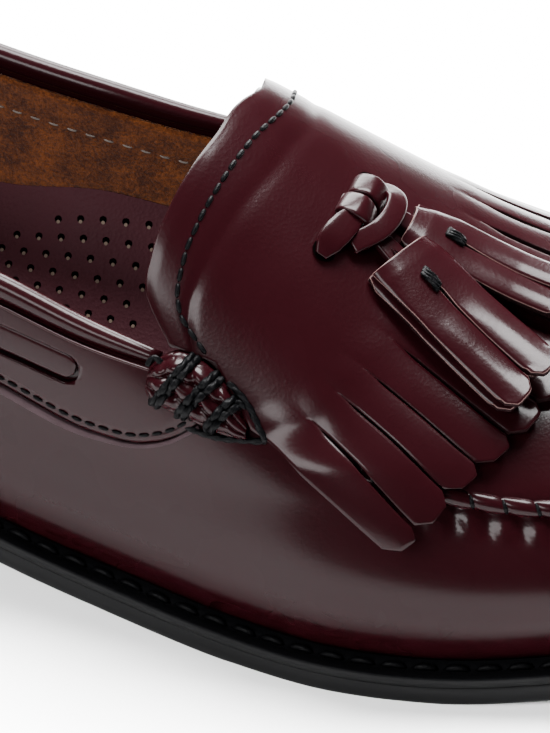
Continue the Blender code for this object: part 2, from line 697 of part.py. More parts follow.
def kiltie_edge(q):
    """Station of the kiltie's rear edge at girth q."""
    return float(np.interp(q, [row.q for row in KILTIE_EDGE], [row.s for row in KILTIE_EDGE]))


def kiltie_line(row, side, share):
    """Point (s, q, lift) on one line of the kiltie: 0 rear edge, 1 waist, 2 start of the cut, 3 tip."""
    rear_s = kiltie_edge(row.rear_q)
    waist_s = (rear_s + row.start_s) / 2
    s = np.interp(share, (0, 1, 2, 3), (rear_s, waist_s, row.start_s, row.tip_s))
    q = np.interp(share, (0, 1, 2, 3), (row.rear_q, row.start_q * KILTIE_WAIST_SHARE, row.start_q, row.tip_q))
    risen = np.clip((share - 2) / row.lift_by, 0, 1)
    return s, side * q, OVERLAY_GAP + (row.lift - OVERLAY_GAP) * risen * risen * (3 - 2 * risen)


def make_kiltie(collection):
    """Flap over tongue and vamp: one sheet of leather, cut into strips with clipped tips."""
    lines = [(row, -1) for row in STRIPS] + [(row, 1) for row in STRIPS[::-1]]
    body = np.concatenate([np.linspace(0, 1, 4), np.linspace(1, 2, 4)[1:]])
    fringe = np.linspace(2, 3, 5)[1:]
    fringe[-1] = 3 - TIP_CLIP / STRIP_LENGTH
    points, faces = [], []
    for share in body:
        points += [kiltie_line(row, side, share) for row, side in lines]
    faces += grid_faces(len(body), len(lines))
    root = (len(body) - 1) * len(lines)
    for k in range(len(lines) - 1):
        left, right = (root + k, root + k + 1)
        for share in list(fringe) + [3.0]:
            a = np.array(kiltie_line(*lines[k], share))
            b = np.array(kiltie_line(*lines[k + 1], share))
            inset = STRIP_GAP / 2 if share < 3 else TIP_CLIP
            step = (b - a) * inset / abs(b[1] - a[1])
            points += [tuple(a + step), tuple(b - step)]
            faces.append((left, right, len(points) - 1, len(points) - 2))
            left, right = len(points) - 2, len(points) - 1
    s, q, lift = np.array(points).T
    kiltie = new_object(
        "kiltie", lifted(at_girth, s, q, lift), faces, (0.07, 0.012, 0.02), 0.2, collection)
    add_wall(kiltie, wall_side(kiltie) * KILTIE_WALL)
    return kiltie


def lump(name, size, collection):
    """Cushion-shaped lump lying on the kiltie."""
    rings = []
    turn = np.linspace(0, math.pi, 6)
    for part in np.linspace(-1, 1, 7):
        q = (size.q_low + size.q_high) / 2 + part * (size.q_high - size.q_low) / 2
        swell = math.sqrt(1 - LUMP_END_LOSS * part**4)
        s = (size.s_low + size.s_high) / 2 + np.cos(turn) * (size.s_high - size.s_low) / 2 * swell
        lift = LACE_REST + np.sin(turn) ** LUMP_FULLNESS * size.rise * swell
        rings.append(lifted(at_girth, s, q + 0 * s, lift))
    return tube(name, rings, (0.06, 0.012, 0.02), 0.25, collection)


def make_knot(collection, cutters):
    """Lace that holds the tassels: its wrap through the kiltie and the knot in front, joined."""
    knot = lump("tassel_knot", KNOT_WRAP, collection)
    band = as_cutter(lump("knot_band", KNOT_BAND, cutters))
    join = knot.modifiers.new("band", "BOOLEAN")
    join.operation = "UNION"
    join.solver = "EXACT"
    join.object = band
    return knot


def make_tassel(name, rows, collection):
    """Folded leather tassel: a head, then two strips with clipped tips, in one sheet."""
    points, faces = [], []

    def row_points(row, places):
        for place in places:
            share = (place + 1) / 2
            lift = LACE_REST + row.outer_lift + share * (row.inner_lift - row.outer_lift)
            points.append((row.s, row.q + place * row.half, lift))

    for row in rows[:TASSEL_SPLIT + 1]:
        row_points(row, (-1.0, 0.0, 1.0))
    faces += grid_faces(TASSEL_SPLIT + 1, 3)
    slit = STRIP_GAP / 2 / rows[-1].half
    for side in (-1, 1):
        left = TASSEL_SPLIT * 3 + (0 if side < 0 else 1)
        right = left + 1
        ends = (-1.0, -slit) if side < 0 else (slit, 1.0)
        for row in rows[TASSEL_SPLIT + 1:]:
            row_points(row, ends)
            faces.append((left, right, len(points) - 1, len(points) - 2))
            left, right = len(points) - 2, len(points) - 1
        tip = rows[-1]._replace(s=rows[-1].s + TIP_CLIP)
        clip = TIP_CLIP / rows[-1].half * TASSEL_CLIP_SHARE
        row_points(tip, (ends[0] + clip, ends[1] - clip))
        faces.append((left, right, len(points) - 1, len(points) - 2))
    s, q, lift = np.array(points).T
    tassel = new_object(name, lifted(at_girth, s, q, lift), faces, (0.07, 0.012, 0.02), 0.2, collection)
    add_wall(tassel, wall_side(tassel) * TASSEL_WALL)
    return tassel


def clear_scene():
    """Take the start-up objects out of the file."""
    for old in list(bpy.data.objects):
        bpy.data.objects.remove(old, do_unlink=True)


def build():
    """Make every piece of the loafer."""
    clear_scene()
    shoe = bpy.data.collections.new(OBJECT_NAME)
    cutters = bpy.data.collections.new("cutters")
    for collection in (shoe, cutters):
        bpy.context.scene.collection.children.link(collection)
    make_outsole(shoe)
    make_welt(shoe)
    make_heel(shoe)
    make_insole(shoe)
    make_upper(shoe, cutters)
    make_quarter(shoe, cutters)
    make_collar_roll(shoe)
    make_apron_seam(shoe)
    make_kiltie(shoe)
    for side, place in ((-1, "lateral"), (1, "medial")):
        make_lace(side, "lace_" + place, shoe)
        make_beef_roll(side, "beef_roll_" + place, shoe)
    make_knot(shoe, cutters)
    make_tassel("tassel_lateral", TASSEL_LATERAL, shoe)
    make_tassel("tassel_medial", TASSEL_MEDIAL, shoe)


build()
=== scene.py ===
import math
from collections import namedtuple

import bmesh
import bpy
import numpy as np
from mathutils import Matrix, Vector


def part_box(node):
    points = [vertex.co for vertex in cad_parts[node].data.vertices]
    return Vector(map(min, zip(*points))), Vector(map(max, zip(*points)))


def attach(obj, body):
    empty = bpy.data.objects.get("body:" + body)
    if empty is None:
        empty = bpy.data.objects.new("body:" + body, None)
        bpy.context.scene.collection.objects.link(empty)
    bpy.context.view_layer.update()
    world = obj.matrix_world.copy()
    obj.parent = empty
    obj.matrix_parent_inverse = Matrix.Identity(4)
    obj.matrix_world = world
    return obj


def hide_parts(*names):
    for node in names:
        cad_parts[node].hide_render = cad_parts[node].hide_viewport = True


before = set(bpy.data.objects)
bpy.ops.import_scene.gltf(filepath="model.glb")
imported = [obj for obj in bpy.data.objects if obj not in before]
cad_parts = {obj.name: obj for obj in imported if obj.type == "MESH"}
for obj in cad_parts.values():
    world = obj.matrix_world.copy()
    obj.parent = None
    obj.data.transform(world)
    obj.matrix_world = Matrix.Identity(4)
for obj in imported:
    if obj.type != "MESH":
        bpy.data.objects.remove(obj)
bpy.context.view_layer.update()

# The last: the form that every leather piece is pulled over, so it comes first.
# It is a table of cross sections, in millimetres from the heel, y to the inner side of
# the foot and z up; the pieces below are all surfaces on it, lifted or sunk a little.
Section = namedtuple("Section", "s lateral medial feather crown crown_y bulge bulge_rise power")
LAST = [
    Section(0, 29.0, 29.0, 30.5, 108.0, 0.0, 1.5, 20.0, 2.0),
    Section(30, 29.5, 29.0, 29.5, 108.0, 0.0, 1.8, 20.0, 2.0),
    Section(60, 31.0, 27.0, 27.0, 105.0, 0.5, 2.0, 18.0, 2.0),
    Section(90, 33.5, 24.0, 20.0, 101.0, 1.5, 2.2, 16.0, 2.0),
    Section(120, 37.0, 25.0, 12.0, 93.0, 2.0, 2.5, 14.0, 2.0),
    Section(147, 40.2, 30.0, 8.2, 83.0, 2.5, 2.6, 13.0, 2.1),
    Section(165, 42.5, 34.5, 6.5, 72.5, 3.0, 2.6, 12.5, 2.15),
    Section(184, 44.2, 38.8, 6.3, 61.0, 3.5, 2.4, 12.0, 2.2),
    Section(205, 41.0, 41.2, 6.5, 51.0, 4.0, 2.2, 11.5, 2.2),
    Section(226, 34.5, 40.6, 8.4, 45.6, 4.5, 2.0, 11.0, 2.2),
    Section(245, 28.5, 36.8, 10.6, 42.0, 5.0, 1.8, 11.0, 2.3),
    Section(260, 25.5, 33.5, 12.8, 40.0, 5.0, 1.6, 11.0, 2.3),
    Section(284, 22.0, 30.0, 16.8, 38.5, 4.5, 1.2, 11.0, 2.3),
]
LAST_LENGTH = 284.0
HEEL_ROUND = 30.0
TOE_ROUND = 42.0
TOE_BOX = 28.0
TOE_BOX_POWER = 2.3
TOE_TIP = 0.975
HEEL_WAIST_HEIGHT = 52.0
LATERAL, MEDIAL = -1.0, 1.0
NORMAL_STEP = 0.3


def cubic(xs, ys, s):
    """Cubics through ys at xs, with slopes from their neighbours, read at s."""
    slope = np.gradient(ys, xs, axis=0)
    i = np.clip(np.searchsorted(xs, s, side="right") - 1, 0, len(xs) - 2)
    step = xs[i + 1] - xs[i]
    t = (s - xs[i]) / step
    if ys.ndim > 1:
        step, t = step[:, None], t[:, None]
    start = (2 * t**3 - 3 * t**2 + 1) * ys[i] + (t**3 - 2 * t**2 + t) * step * slope[i]
    return start + (3 * t**2 - 2 * t**3) * ys[i + 1] + (t**3 - t**2) * step * slope[i + 1]


def along(table, column, s):
    """Value of one column of a table at s, held at its ends."""
    xs = np.array([row[0] for row in table], float)
    ys = np.array([getattr(row, column) for row in table], float)
    return cubic(xs, ys, np.clip(np.asarray(s, float), xs[0], xs[-1]))


def arc_run(line):
    """Arc length from the start of a line to each of its points."""
    return np.concatenate([[0.0], np.cumsum(np.linalg.norm(np.diff(line, axis=0), axis=1))])


def smooth(low, high, x):
    """0 below low, 1 above high, and 3t^2 - 2t^3 between."""
    t = np.clip((x - low) / (high - low), 0, 1)
    return t * t * (3 - 2 * t)


def half_widths(s, side):
    """Foot, widest point and ridge of a half section, its feather height, top and swell height.

    The heel and the toe are rounded off by quarter circles in plan, and the toe box by a
    superellipse in height."""
    heel = np.clip(1 - s / HEEL_ROUND, 0, 1)
    toe = np.clip((s - LAST_LENGTH + TOE_ROUND) / TOE_ROUND, 0, 1)
    share = np.sqrt(1 - heel**2) * np.sqrt(1 - toe**2)
    box = TOE_TIP * np.clip((s - LAST_LENGTH + TOE_BOX) / TOE_BOX, 0, 1)
    height = (1 - box**TOE_BOX_POWER) ** (1 / TOE_BOX_POWER)
    lateral, medial = along(LAST, "lateral", s), along(LAST, "medial", s)
    middle = (medial - lateral) / 2
    foot = middle + side * (medial + lateral) / 2 * share
    wide = foot + side * along(LAST, "bulge", s) * share
    ridge = middle + (along(LAST, "crown_y", s) - middle) * share
    feather = along(LAST, "feather", s)
    top = (along(LAST, "crown", s) - feather) * height
    rise = np.minimum(along(LAST, "bulge_rise", s) * np.maximum(height, 0.05), top * 0.45)
    return foot, wide, ridge, feather, top, rise


def counter_lean(s, z):
    """How far the heel's back leans forward: a parabola above and below its waist."""
    above = 6.5 * ((z - HEEL_WAIST_HEIGHT) / 34.0) ** 2
    below = 3.0 * ((HEEL_WAIST_HEIGHT - z) / 21.0) ** 2
    return np.clip(1 - s / 70.0, 0, 1) ** 2 * np.where(z > HEEL_WAIST_HEIGHT, above, below)


def on_side(s, side, z):
    """Skin point at station s and height z: the arch |y/w|^p + |z/h|^p = 1 above a quarter-sine swell."""
    foot, wide, ridge, feather, top, rise = half_widths(s, side)
    power = along(LAST, "power", s)
    up = np.clip((z - feather - rise) / (top - rise), 0, 1)
    arch = ridge + (wide - ridge) * (1 - up**power) ** (1 / power)
    swell = foot + (wide - foot) * np.sin(np.clip((z - feather) / rise, 0, 1) * math.pi / 2)
    y = np.where(z > feather + rise, arch, swell)
    return np.stack([s + counter_lean(s, z), y, z + 0 * y], -1)


def wall_of(side):
    """The skin of one side as a surface of station and height."""
    return lambda s, z: on_side(s, side, z)


def on_top(s, y):
    """Skin point above the plan point (s, y), from the same arch."""
    side = np.where(y < half_widths(s, MEDIAL)[2], LATERAL, MEDIAL)
    foot, wide, ridge, feather, top, rise = half_widths(s, side)
    power = along(LAST, "power", s)
    reach = np.where(np.abs(wide - ridge) < 1e-6, side * 1e-6, wide - ridge)
    out = np.clip(np.abs((y - ridge) / reach), 0, 1)
    z = feather + rise + (top - rise) * (1 - out**power) ** (1 / power)
    return np.stack([s + counter_lean(s, z), y + 0 * z, z], -1)


GIRTH_STEP = 0.5
GIRTH_STATIONS = np.arange(140.0, 232.0, GIRTH_STEP)
GIRTH_ARCS = np.arange(-72.0, 64.5, GIRTH_STEP)


def girth_table():
    """Skin points of the vamp on a grid of stations and arc lengths round from the ridge."""
    s = GIRTH_STATIONS[:, None]
    table = np.zeros((len(GIRTH_STATIONS), len(GIRTH_ARCS), 3))
    angle = np.linspace(math.pi / 2, 0, 160)[None]
    power = 2 / along(LAST, "power", s)
    for side in (LATERAL, MEDIAL):
        foot, wide, ridge, feather, top, rise = half_widths(s, side)
        y = ridge + (wide - ridge) * np.cos(angle).clip(0, 1) ** power
        z = feather + rise + (top - rise) * np.sin(angle).clip(0, 1) ** power
        part = np.linspace(1, 0, 20)[None, 1:]
        y = np.concatenate([y, foot + (wide - foot) * np.sin(part * math.pi / 2)], 1)
        z = np.concatenate([z, feather + rise * part], 1)
        run = np.concatenate([0 * y[:, :1], np.cumsum(np.hypot(np.diff(y), np.diff(z)), 1)], 1)
        keep = GIRTH_ARCS * side >= 0
        for k in range(len(GIRTH_STATIONS)):
            share = np.interp(GIRTH_STATIONS[k], (148, 200), (0.805, 0.945)) if side > 0 else 1.0
            arcs = np.abs(GIRTH_ARCS[keep]) * share
            table[k, keep, 0] = GIRTH_STATIONS[k]
            table[k, keep, 1] = np.interp(arcs, run[k], y[k])
            table[k, keep, 2] = np.interp(arcs, run[k], z[k])
    return table


GIRTH_POINTS = girth_table()


def on_girth(s, q):
    """Skin point at station s and q millimetres round from the ridge: bilinear in the table."""
    a = np.clip((s - GIRTH_STATIONS[0]) / GIRTH_STEP, 0, len(GIRTH_STATIONS) - 1.001)
    b = np.clip((q - GIRTH_ARCS[0]) / GIRTH_STEP, 0, len(GIRTH_ARCS) - 1.001)
    i, j = a.astype(int), b.astype(int)
    a, b = (a - i)[..., None], (b - j)[..., None]
    near = GIRTH_POINTS[i, j] * (1 - b) + GIRTH_POINTS[i, j + 1] * b
    far = GIRTH_POINTS[i + 1, j] * (1 - b) + GIRTH_POINTS[i + 1, j + 1] * b
    return near * (1 - a) + far * a


def unit(vectors):
    return vectors / np.maximum(np.linalg.norm(vectors, axis=-1, keepdims=True), 1e-12)


def normals_of(surface, u, v, step=NORMAL_STEP):
    """Outward normal of surface(u, v): the cross product of its two slopes."""
    across = surface(u + step, v) - surface(u - step, v)
    down = surface(u, v + step) - surface(u, v - step)
    normal = unit(np.cross(across, down))
    base = surface(u, v)
    core = np.stack([base[..., 0], 0 * base[..., 1], 0 * base[..., 2] + 25.0], -1)
    return normal * np.sign(((base - core) * normal).sum(-1, keepdims=True))


def lifted(surface, u, v, height):
    """surface(u, v) moved out along its normal by height."""
    return surface(u, v) + normals_of(surface, u, v) * np.asarray(height, float)[..., None]


# The last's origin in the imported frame: its toe tip and its widest point on the outer side
# are where the upper's node has them
widest = half_widths(np.linspace(150.0, 230.0, 400), LATERAL)[1].min()
upper_low, upper_high = (np.array(corner) * 1000 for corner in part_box("upper"))
ORIGIN = np.array([LAST_LENGTH - upper_high[0], widest - upper_low[1], 0.0])


def to_frame(points):
    """Millimetres on the last to metres in the frame."""
    return (np.asarray(points, float) - ORIGIN) / 1000


def quads(rows, columns, round_rows=False, round_columns=False):
    """Corner numbers of a grid's quads, as one array; a round grid closes on itself."""
    r = np.arange(rows if round_rows else rows - 1)[:, None]
    c = np.arange(columns if round_columns else columns - 1)[None]
    r2, c2 = (r + 1) % rows, (c + 1) % columns
    corners = [r * columns + c, r * columns + c2, r2 * columns + c2, r2 * columns + c]
    return np.stack(corners, -1).reshape(-1, 4)


def new_object(name, data):
    """Object of its data, linked to the scene."""
    made = bpy.data.objects.new(name, data)
    bpy.context.scene.collection.objects.link(made)
    return made


def new_piece(name, points, faces, material, closed=False):
    """Mesh object from points on the last, smooth shaded; a closed one has its faces turned out."""
    mesh = bpy.data.meshes.new(name)
    points = to_frame(points).reshape(-1, 3)
    mesh.from_pydata(points.tolist(), [], [tuple(face) for face in np.asarray(faces).tolist()])
    if closed:
        work = bmesh.new()
        work.from_mesh(mesh)
        bmesh.ops.remove_doubles(work, verts=work.verts, dist=1e-6)
        bmesh.ops.recalc_face_normals(work, faces=work.faces)
        work.to_mesh(mesh)
        work.free()
    mesh.polygons.foreach_set("use_smooth", np.ones(len(mesh.polygons), bool))
    if material:
        mesh.materials.append(material)
    return new_object(name, mesh)


def sealed(rings):
    """Rings with one more at each end, drawn together at its middle."""
    first, last = (ring * 0 + ring.mean(1, keepdims=True) for ring in (rings[:1], rings[-1:]))
    return np.concatenate([first, rings, last])


def tube(name, rings, material):
    """Closed piece skinned over rings of points."""
    return new_piece(name, rings, quads(*rings.shape[:2], round_columns=True), material, closed=True)


def hold(piece, slot=None, *nodes):
    """Every piece rides on the one body and stands for the nodes named; the slot argument is not used."""
    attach(piece, "root")
    if nodes:
        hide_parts(*nodes)
    return piece


# The camera, as the photograph's: it looks down on the outer side of the vamp with a long lens.
VIEW_AZIMUTH, VIEW_ELEVATION = 19, 40
VIEW_DISTANCE = 1.5
VIEW_TARGET = (165.1, -20.6, 45.0)
PHOTO_TALL, PIXELS_PER_MM = 733, 5.7
SENSOR = 36.0


def aim(thing, azimuth, elevation, distance, target):
    """Place a camera or a lamp that far from target, at azimuth and elevation in degrees, facing it."""
    azimuth, elevation = math.radians(azimuth), math.radians(elevation)
    away = np.array([
        math.sin(azimuth) * math.cos(elevation),
        -math.cos(azimuth) * math.cos(elevation),
        math.sin(elevation),
    ])
    thing.location = np.asarray(target) + away * distance
    thing.rotation_euler = (math.pi / 2 - elevation, 0, azimuth)


camera_data = bpy.data.cameras.new("camera")
camera_data.sensor_width = SENSOR
camera_data.lens = SENSOR * PIXELS_PER_MM * VIEW_DISTANCE * 1000 / PHOTO_TALL
camera = new_object("camera", camera_data)
aim(camera, VIEW_AZIMUTH, VIEW_ELEVATION, VIEW_DISTANCE, to_frame(VIEW_TARGET))
bpy.context.scene.camera = camera

# The floor is a plain pale sweep, lit by large soft lamps that the polished leather reflects:
# one from the camera's side, one from above and one from behind the far side.
Lamp = namedtuple("Lamp", "name azimuth elevation distance wide tall power")
LAMPS = [
    Lamp("front_softbox", -18, 40, 1.3, 0.8, 0.4, 44),
    Lamp("top_softbox", 190, 68, 1.4, 1.1, 0.6, 285),
    Lamp("rear_softbox", 203, 32, 1.6, 1.2, 0.8, 275),
]
WORLD_COLOR = (0.9, 0.93, 1.0)
WORLD_STRENGTH = 0.2

for lamp in LAMPS:
    lamp_data = bpy.data.lights.new(lamp.name, "AREA")
    lamp_data.shape = "RECTANGLE"
    lamp_data.size, lamp_data.size_y = lamp.wide, lamp.tall
    lamp_data.energy = lamp.power
    light = new_object(lamp.name, lamp_data)
    aim(light, lamp.azimuth, lamp.elevation, lamp.distance, (0, 0, 0))

world = bpy.data.worlds.new("studio")
world.use_nodes = True
world.node_tree.nodes["Background"].inputs["Color"].default_value = (*WORLD_COLOR, 1)
world.node_tree.nodes["Background"].inputs["Strength"].default_value = WORLD_STRENGTH
bpy.context.scene.world = world

FLOOR_HALF = 3.0
floor_material = bpy.data.materials.new("studio_floor")
floor_material.use_nodes = True
floor_shader = floor_material.node_tree.nodes["Principled BSDF"]
floor_shader.inputs["Base Color"].default_value = (0.9, 0.9, 0.9, 1)
floor_shader.inputs["Roughness"].default_value = 0.8
floor_mesh = bpy.data.meshes.new("studio_floor")
corners = [(-1, -1), (1, -1), (1, 1), (-1, 1)]
floor_mesh.from_pydata([(x * FLOOR_HALF, y * FLOOR_HALF, 0) for x, y in corners], [], [(0, 1, 2, 3)])
floor_mesh.materials.append(floor_material)
new_object("studio_floor", floor_mesh)


# Finishes. The leather is corrected grain, brushed to a hard gloss: a deep red with a clear
# polish over it, fine pores, and a slow drift of tone where the dye was rubbed in.
def group_with(name, inputs, outputs):
    """Empty shader group with the named sockets, and its input and output nodes."""
    group = bpy.data.node_groups.new(name, "ShaderNodeTree")
    for socket, kind, value in inputs:
        made = group.interface.new_socket(socket, in_out="INPUT", socket_type=kind)
        made.default_value = value
    for socket, kind in outputs:
        group.interface.new_socket(socket, in_out="OUTPUT", socket_type=kind)
    return group, group.nodes.new("NodeGroupInput"), group.nodes.new("NodeGroupOutput")


def wire(tree, kind, *links, **values):
    """New node: values by input name or attribute, and links as (input name, from socket)."""
    node = tree.nodes.new(kind)
    for name, value in values.items():
        if hasattr(node, name):
            setattr(node, name, value)
        else:
            node.inputs[name.replace("_", " ")].default_value = value
    for name, source in links:
        tree.links.new(source, node.inputs[name])
    return node


def make_grain_group():
    """Grain: cells at the pores' size, wrinkled by a finer noise, and a slow tone drift."""
    group, given, put = group_with(
        "leather_grain",
        [("Scale", "NodeSocketFloat", 1500.0), ("Drift Scale", "NodeSocketFloat", 40.0)],
        [("Height", "NodeSocketFloat"), ("Drift", "NodeSocketFloat")],
    )
    place = wire(group, "ShaderNodeTexCoord").outputs["Object"]
    cells = wire(group, "ShaderNodeTexVoronoi", ("Vector", place), ("Scale", given.outputs["Scale"]))
    fine = wire(
        group, "ShaderNodeTexNoise", ("Vector", place), ("Scale", given.outputs["Scale"]),
        Detail=3.0, Roughness=0.6)
    drift = wire(
        group, "ShaderNodeTexNoise", ("Vector", place), ("Scale", given.outputs["Drift Scale"]), Detail=3.0)
    mixed = wire(
        group, "ShaderNodeMath", (0, cells.outputs["Distance"]), (1, fine.outputs["Fac"]),
        operation="MULTIPLY")
    group.links.new(mixed.outputs[0], put.inputs["Height"])
    group.links.new(drift.outputs["Fac"], put.inputs["Drift"])
    return group


GRAIN = make_grain_group()


def new_finish(name, roughness, specular=0.02):
    """Material with its node tree and its shader."""
    material = bpy.data.materials.new(name)
    material.use_nodes = True
    shader = material.node_tree.nodes["Principled BSDF"]
    shader.inputs["Roughness"].default_value = roughness
    shader.inputs["Specular IOR Level"].default_value = specular
    return material, material.node_tree, shader


def two_tones(tree, shader, mask, deep, light, height, depth, strength=1.0):
    """Base colour from deep to light by mask, and bump by height."""
    tone = wire(tree, "ShaderNodeMix", ("Factor", mask), data_type="RGBA")
    tone.inputs[6].default_value = (*deep, 1)
    tone.inputs[7].default_value = (*light, 1)
    bump = wire(tree, "ShaderNodeBump", ("Height", height), Strength=strength, Distance=depth)
    tree.links.new(tone.outputs[2], shader.inputs["Base Color"])
    tree.links.new(bump.outputs["Normal"], shader.inputs["Normal"])


def leather(
        name, deep, rubbed, roughness, coat=0.0, coat_roughness=0.3, grain=1500.0, depth=0.0001, drift=40.0,
        specular=0.02):
    """Dyed leather: deep and rubbed tones by the drift, pores as bump, a clear polish as coat."""
    material, tree, shader = new_finish(name, roughness, specular)
    shader.inputs["Coat Weight"].default_value = coat
    shader.inputs["Coat Roughness"].default_value = coat_roughness
    skin = wire(tree, "ShaderNodeGroup", node_tree=GRAIN, Scale=grain, Drift_Scale=drift)
    rough = wire(
        tree, "ShaderNodeMapRange", ("Value", skin.outputs["Drift"]), clamp=True, From_Min=0.3, From_Max=0.7,
        To_Min=roughness * 0.85, To_Max=roughness * 1.15)
    tree.links.new(rough.outputs["Result"], shader.inputs["Roughness"])
    two_tones(tree, shader, skin.outputs["Drift"], deep, rubbed, skin.outputs["Height"], depth)
    return material


DEEP_RED = (0.0036, 0.00045, 0.00075)
RUBBED_RED = (0.0058, 0.00075, 0.0013)
polished = leather("polished_burgundy", DEEP_RED, RUBBED_RED, 0.27, 0.07, 0.16, depth=0.00004)
raw_edge = leather("raw_cut_edge", (0.035, 0.02, 0.019), (0.06, 0.037, 0.034), 0.7, depth=0.00012)


def thread_material(name, dark, light, roughness):
    """Waxed thread: two tones by a fine noise, so that the twist catches the light."""
    material, tree, shader = new_finish(name, roughness)
    place = wire(tree, "ShaderNodeTexCoord").outputs["Object"]
    fibre = wire(tree, "ShaderNodeTexNoise", ("Vector", place), Scale=2600.0, Detail=2.0).outputs["Fac"]
    two_tones(tree, shader, fibre, dark, light, fibre, 0.00012)
    return material


black_thread = thread_material("black_waxed_thread", (0.0002, 0.0002, 0.0003), (0.0013, 0.0013, 0.0015), 0.4)
pale_thread = thread_material("pale_thread", (0.05, 0.04, 0.034), (0.1, 0.088, 0.078), 0.6)


# The bottom is cut to the last's feather edge moved out by the margin: a leather outsole with
# a black dyed edge, and over it a black welt that the upper is sewn down to.
Margin = namedtuple("Margin", "s width")
SOLE_MARGIN = [Margin(0, 4.3), Margin(60, 4.8), Margin(120, 6.3), Margin(150, 6.9), Margin(284, 6.9)]
UPPER_WALL = 1.9
OUTSOLE_THICK = 4.0
WELT_THICK = 2.2
FIT_GAP = 0.3
EDGE_HEIGHT = OUTSOLE_THICK + WELT_THICK + FIT_GAP
TOE_SPRING = 0.17
BOTTOM_STEP = 2.0


def sole_stations(end=LAST_LENGTH):
    """Stations close together where the outline turns: cosine steps at the heel and the toe."""
    heel = HEEL_ROUND * (1 - np.cos(np.linspace(0, math.pi / 2, 26)))
    if end < LAST_LENGTH:
        return np.concatenate([heel[:-1], np.arange(HEEL_ROUND, end, BOTTOM_STEP), [end]])
    toe = LAST_LENGTH - TOE_ROUND * (1 - np.cos(np.linspace(math.pi / 2, 0, 34)))
    return np.concatenate([heel[:-1], np.arange(HEEL_ROUND, toe[0] - 0.5, BOTTOM_STEP), toe])


def margin_at(s):
    return np.interp(s, [row.s for row in SOLE_MARGIN], [row.width for row in SOLE_MARGIN])


def feather_height(x):
    """Height of the feather edge at x, going on straight past the toe."""
    return along(LAST, "feather", x) + TOE_SPRING * np.maximum(x - LAST_LENGTH, 0)


def sole_bottom(x):
    """Underside of the outsole: flat under the ball, raised at the waist and the toe."""
    return np.maximum(feather_height(x) - EDGE_HEIGHT, 0.0)


def feather_ring(s, margin, height):
    """The feather edge all round, moved out in plan by margin, at height(x): outer side, then back."""
    sides = []
    for side in (LATERAL, MEDIAL):
        near = []
        for nudge in (-0.02, 0.0, 0.02):
            station = s + nudge
            foot, feather = half_widths(station, side)[0], along(LAST, "feather", station)
            near.append(np.column_stack([station + counter_lean(station, feather), foot]))
        run = near[2] - near[0]
        run[0] = (0, side)
        if s[-1] >= LAST_LENGTH:
            run[-1] = (0, -side)
        run = unit(run)
        out = np.column_stack([run[:, 1], -run[:, 0]]) * -side
        sides.append(near[1] + out * (margin + 0 * s)[:, None])
    plan = np.concatenate([sides[0], sides[1][::-1]])
    return np.column_stack([plan, height(plan[:, 0]) + 0 * plan[:, 0]])


def stack_of(name, rings, material):
    """Solid from rings stacked upwards, closed by rungs across the first and the last."""
    ring = len(rings[0])
    faces = [quads(len(rings), ring, round_columns=True)]
    k = np.arange(ring // 2 - 1)
    for base in (0, (len(rings) - 1) * ring):
        faces.append(np.stack([base + k, base + k + 1, base + ring - 2 - k, base + ring - 1 - k], -1))
    return new_piece(name, np.concatenate(rings), np.concatenate(faces), material, closed=True)


def edge_material(name, deep, light, roughness):
    """Dyed and waxed edge: a fine noise stretched along the sole."""
    material, tree, shader = new_finish(name, roughness)
    place = wire(tree, "ShaderNodeTexCoord").outputs["Object"]
    stretched = wire(tree, "ShaderNodeMapping", ("Vector", place), Scale=(60, 60, 900))
    fibre = wire(tree, "ShaderNodeTexNoise", ("Vector", stretched.outputs[0]), Scale=1.0, Detail=4.0)
    two_tones(tree, shader, fibre.outputs["Fac"], deep, light, fibre.outputs["Fac"], 0.0001, 0.3)
    return material


edge_black = edge_material("black_edge_dye", (0.0036, 0.0036, 0.0037), (0.0054, 0.0054, 0.0056), 0.38)
s = sole_stations()
margin = margin_at(s)
bottom_rings = [
    feather_ring(s, margin - 0.8, sole_bottom),
    feather_ring(s, margin - 0.25, lambda x: sole_bottom(x) + 0.2),
    feather_ring(s, margin, lambda x: sole_bottom(x) + 0.8),
    feather_ring(s, margin, lambda x: feather_height(x) - WELT_THICK - FIT_GAP - 0.3),
    feather_ring(s, margin - 0.2, lambda x: feather_height(x) - WELT_THICK - FIT_GAP),
]
outsole = stack_of("outsole_leather", bottom_rings, edge_black)
hold(outsole, "outsole", "outsole")

# The welt is a strip all round with a square edge, dyed as the sole's; a groove by the upper
# takes the stitches that fasten it to the sole.
welt_black = leather("welt_black", (0.0008, 0.0008, 0.001), (0.002, 0.002, 0.0023), 0.5, depth=0.00012)
WELT_PROFILE = [
    (0.0, -WELT_THICK), (0.0, -0.62), (-0.14, -0.4), (-0.4, -FIT_GAP), (-1.9, -FIT_GAP - 0.05),
    (-2.6, -FIT_GAP - 0.5), (-3.4, -FIT_GAP - 0.1), (-4.2, -FIT_GAP), (None, -FIT_GAP), (None, -WELT_THICK),
]


def below_feather(drop):
    """Height function of a line drop below the feather edge."""
    return lambda x: feather_height(x) + drop


welt_rings = [
    feather_ring(s, -UPPER_WALL + 0 * s if inset is None else margin + inset, below_feather(drop))
    for inset, drop in WELT_PROFILE
]
welt_rings = np.stack([np.delete(ring, (len(s), 2 * len(s) - 1), axis=0) for ring in welt_rings])
welt = new_piece(
    "welt_strip", welt_rings, quads(len(welt_rings), welt_rings.shape[1], True, True), welt_black, closed=True)
welt.data.materials.append(edge_black)
edge_faces = welt_rings.shape[1]
for face in welt.data.polygons[:edge_faces]:
    face.material_index = 1
hold(welt, "welt", "welt")


# The heel is a stack of leather lifts, dyed black with the sole's edge, on a rubber top piece.
HEEL_BREAST = 74.0
HEEL_INSET = 0.6
HEEL_TAPER = 0.9
TOP_PIECE_THICK = 6.0
HEEL_LIFTS = 4

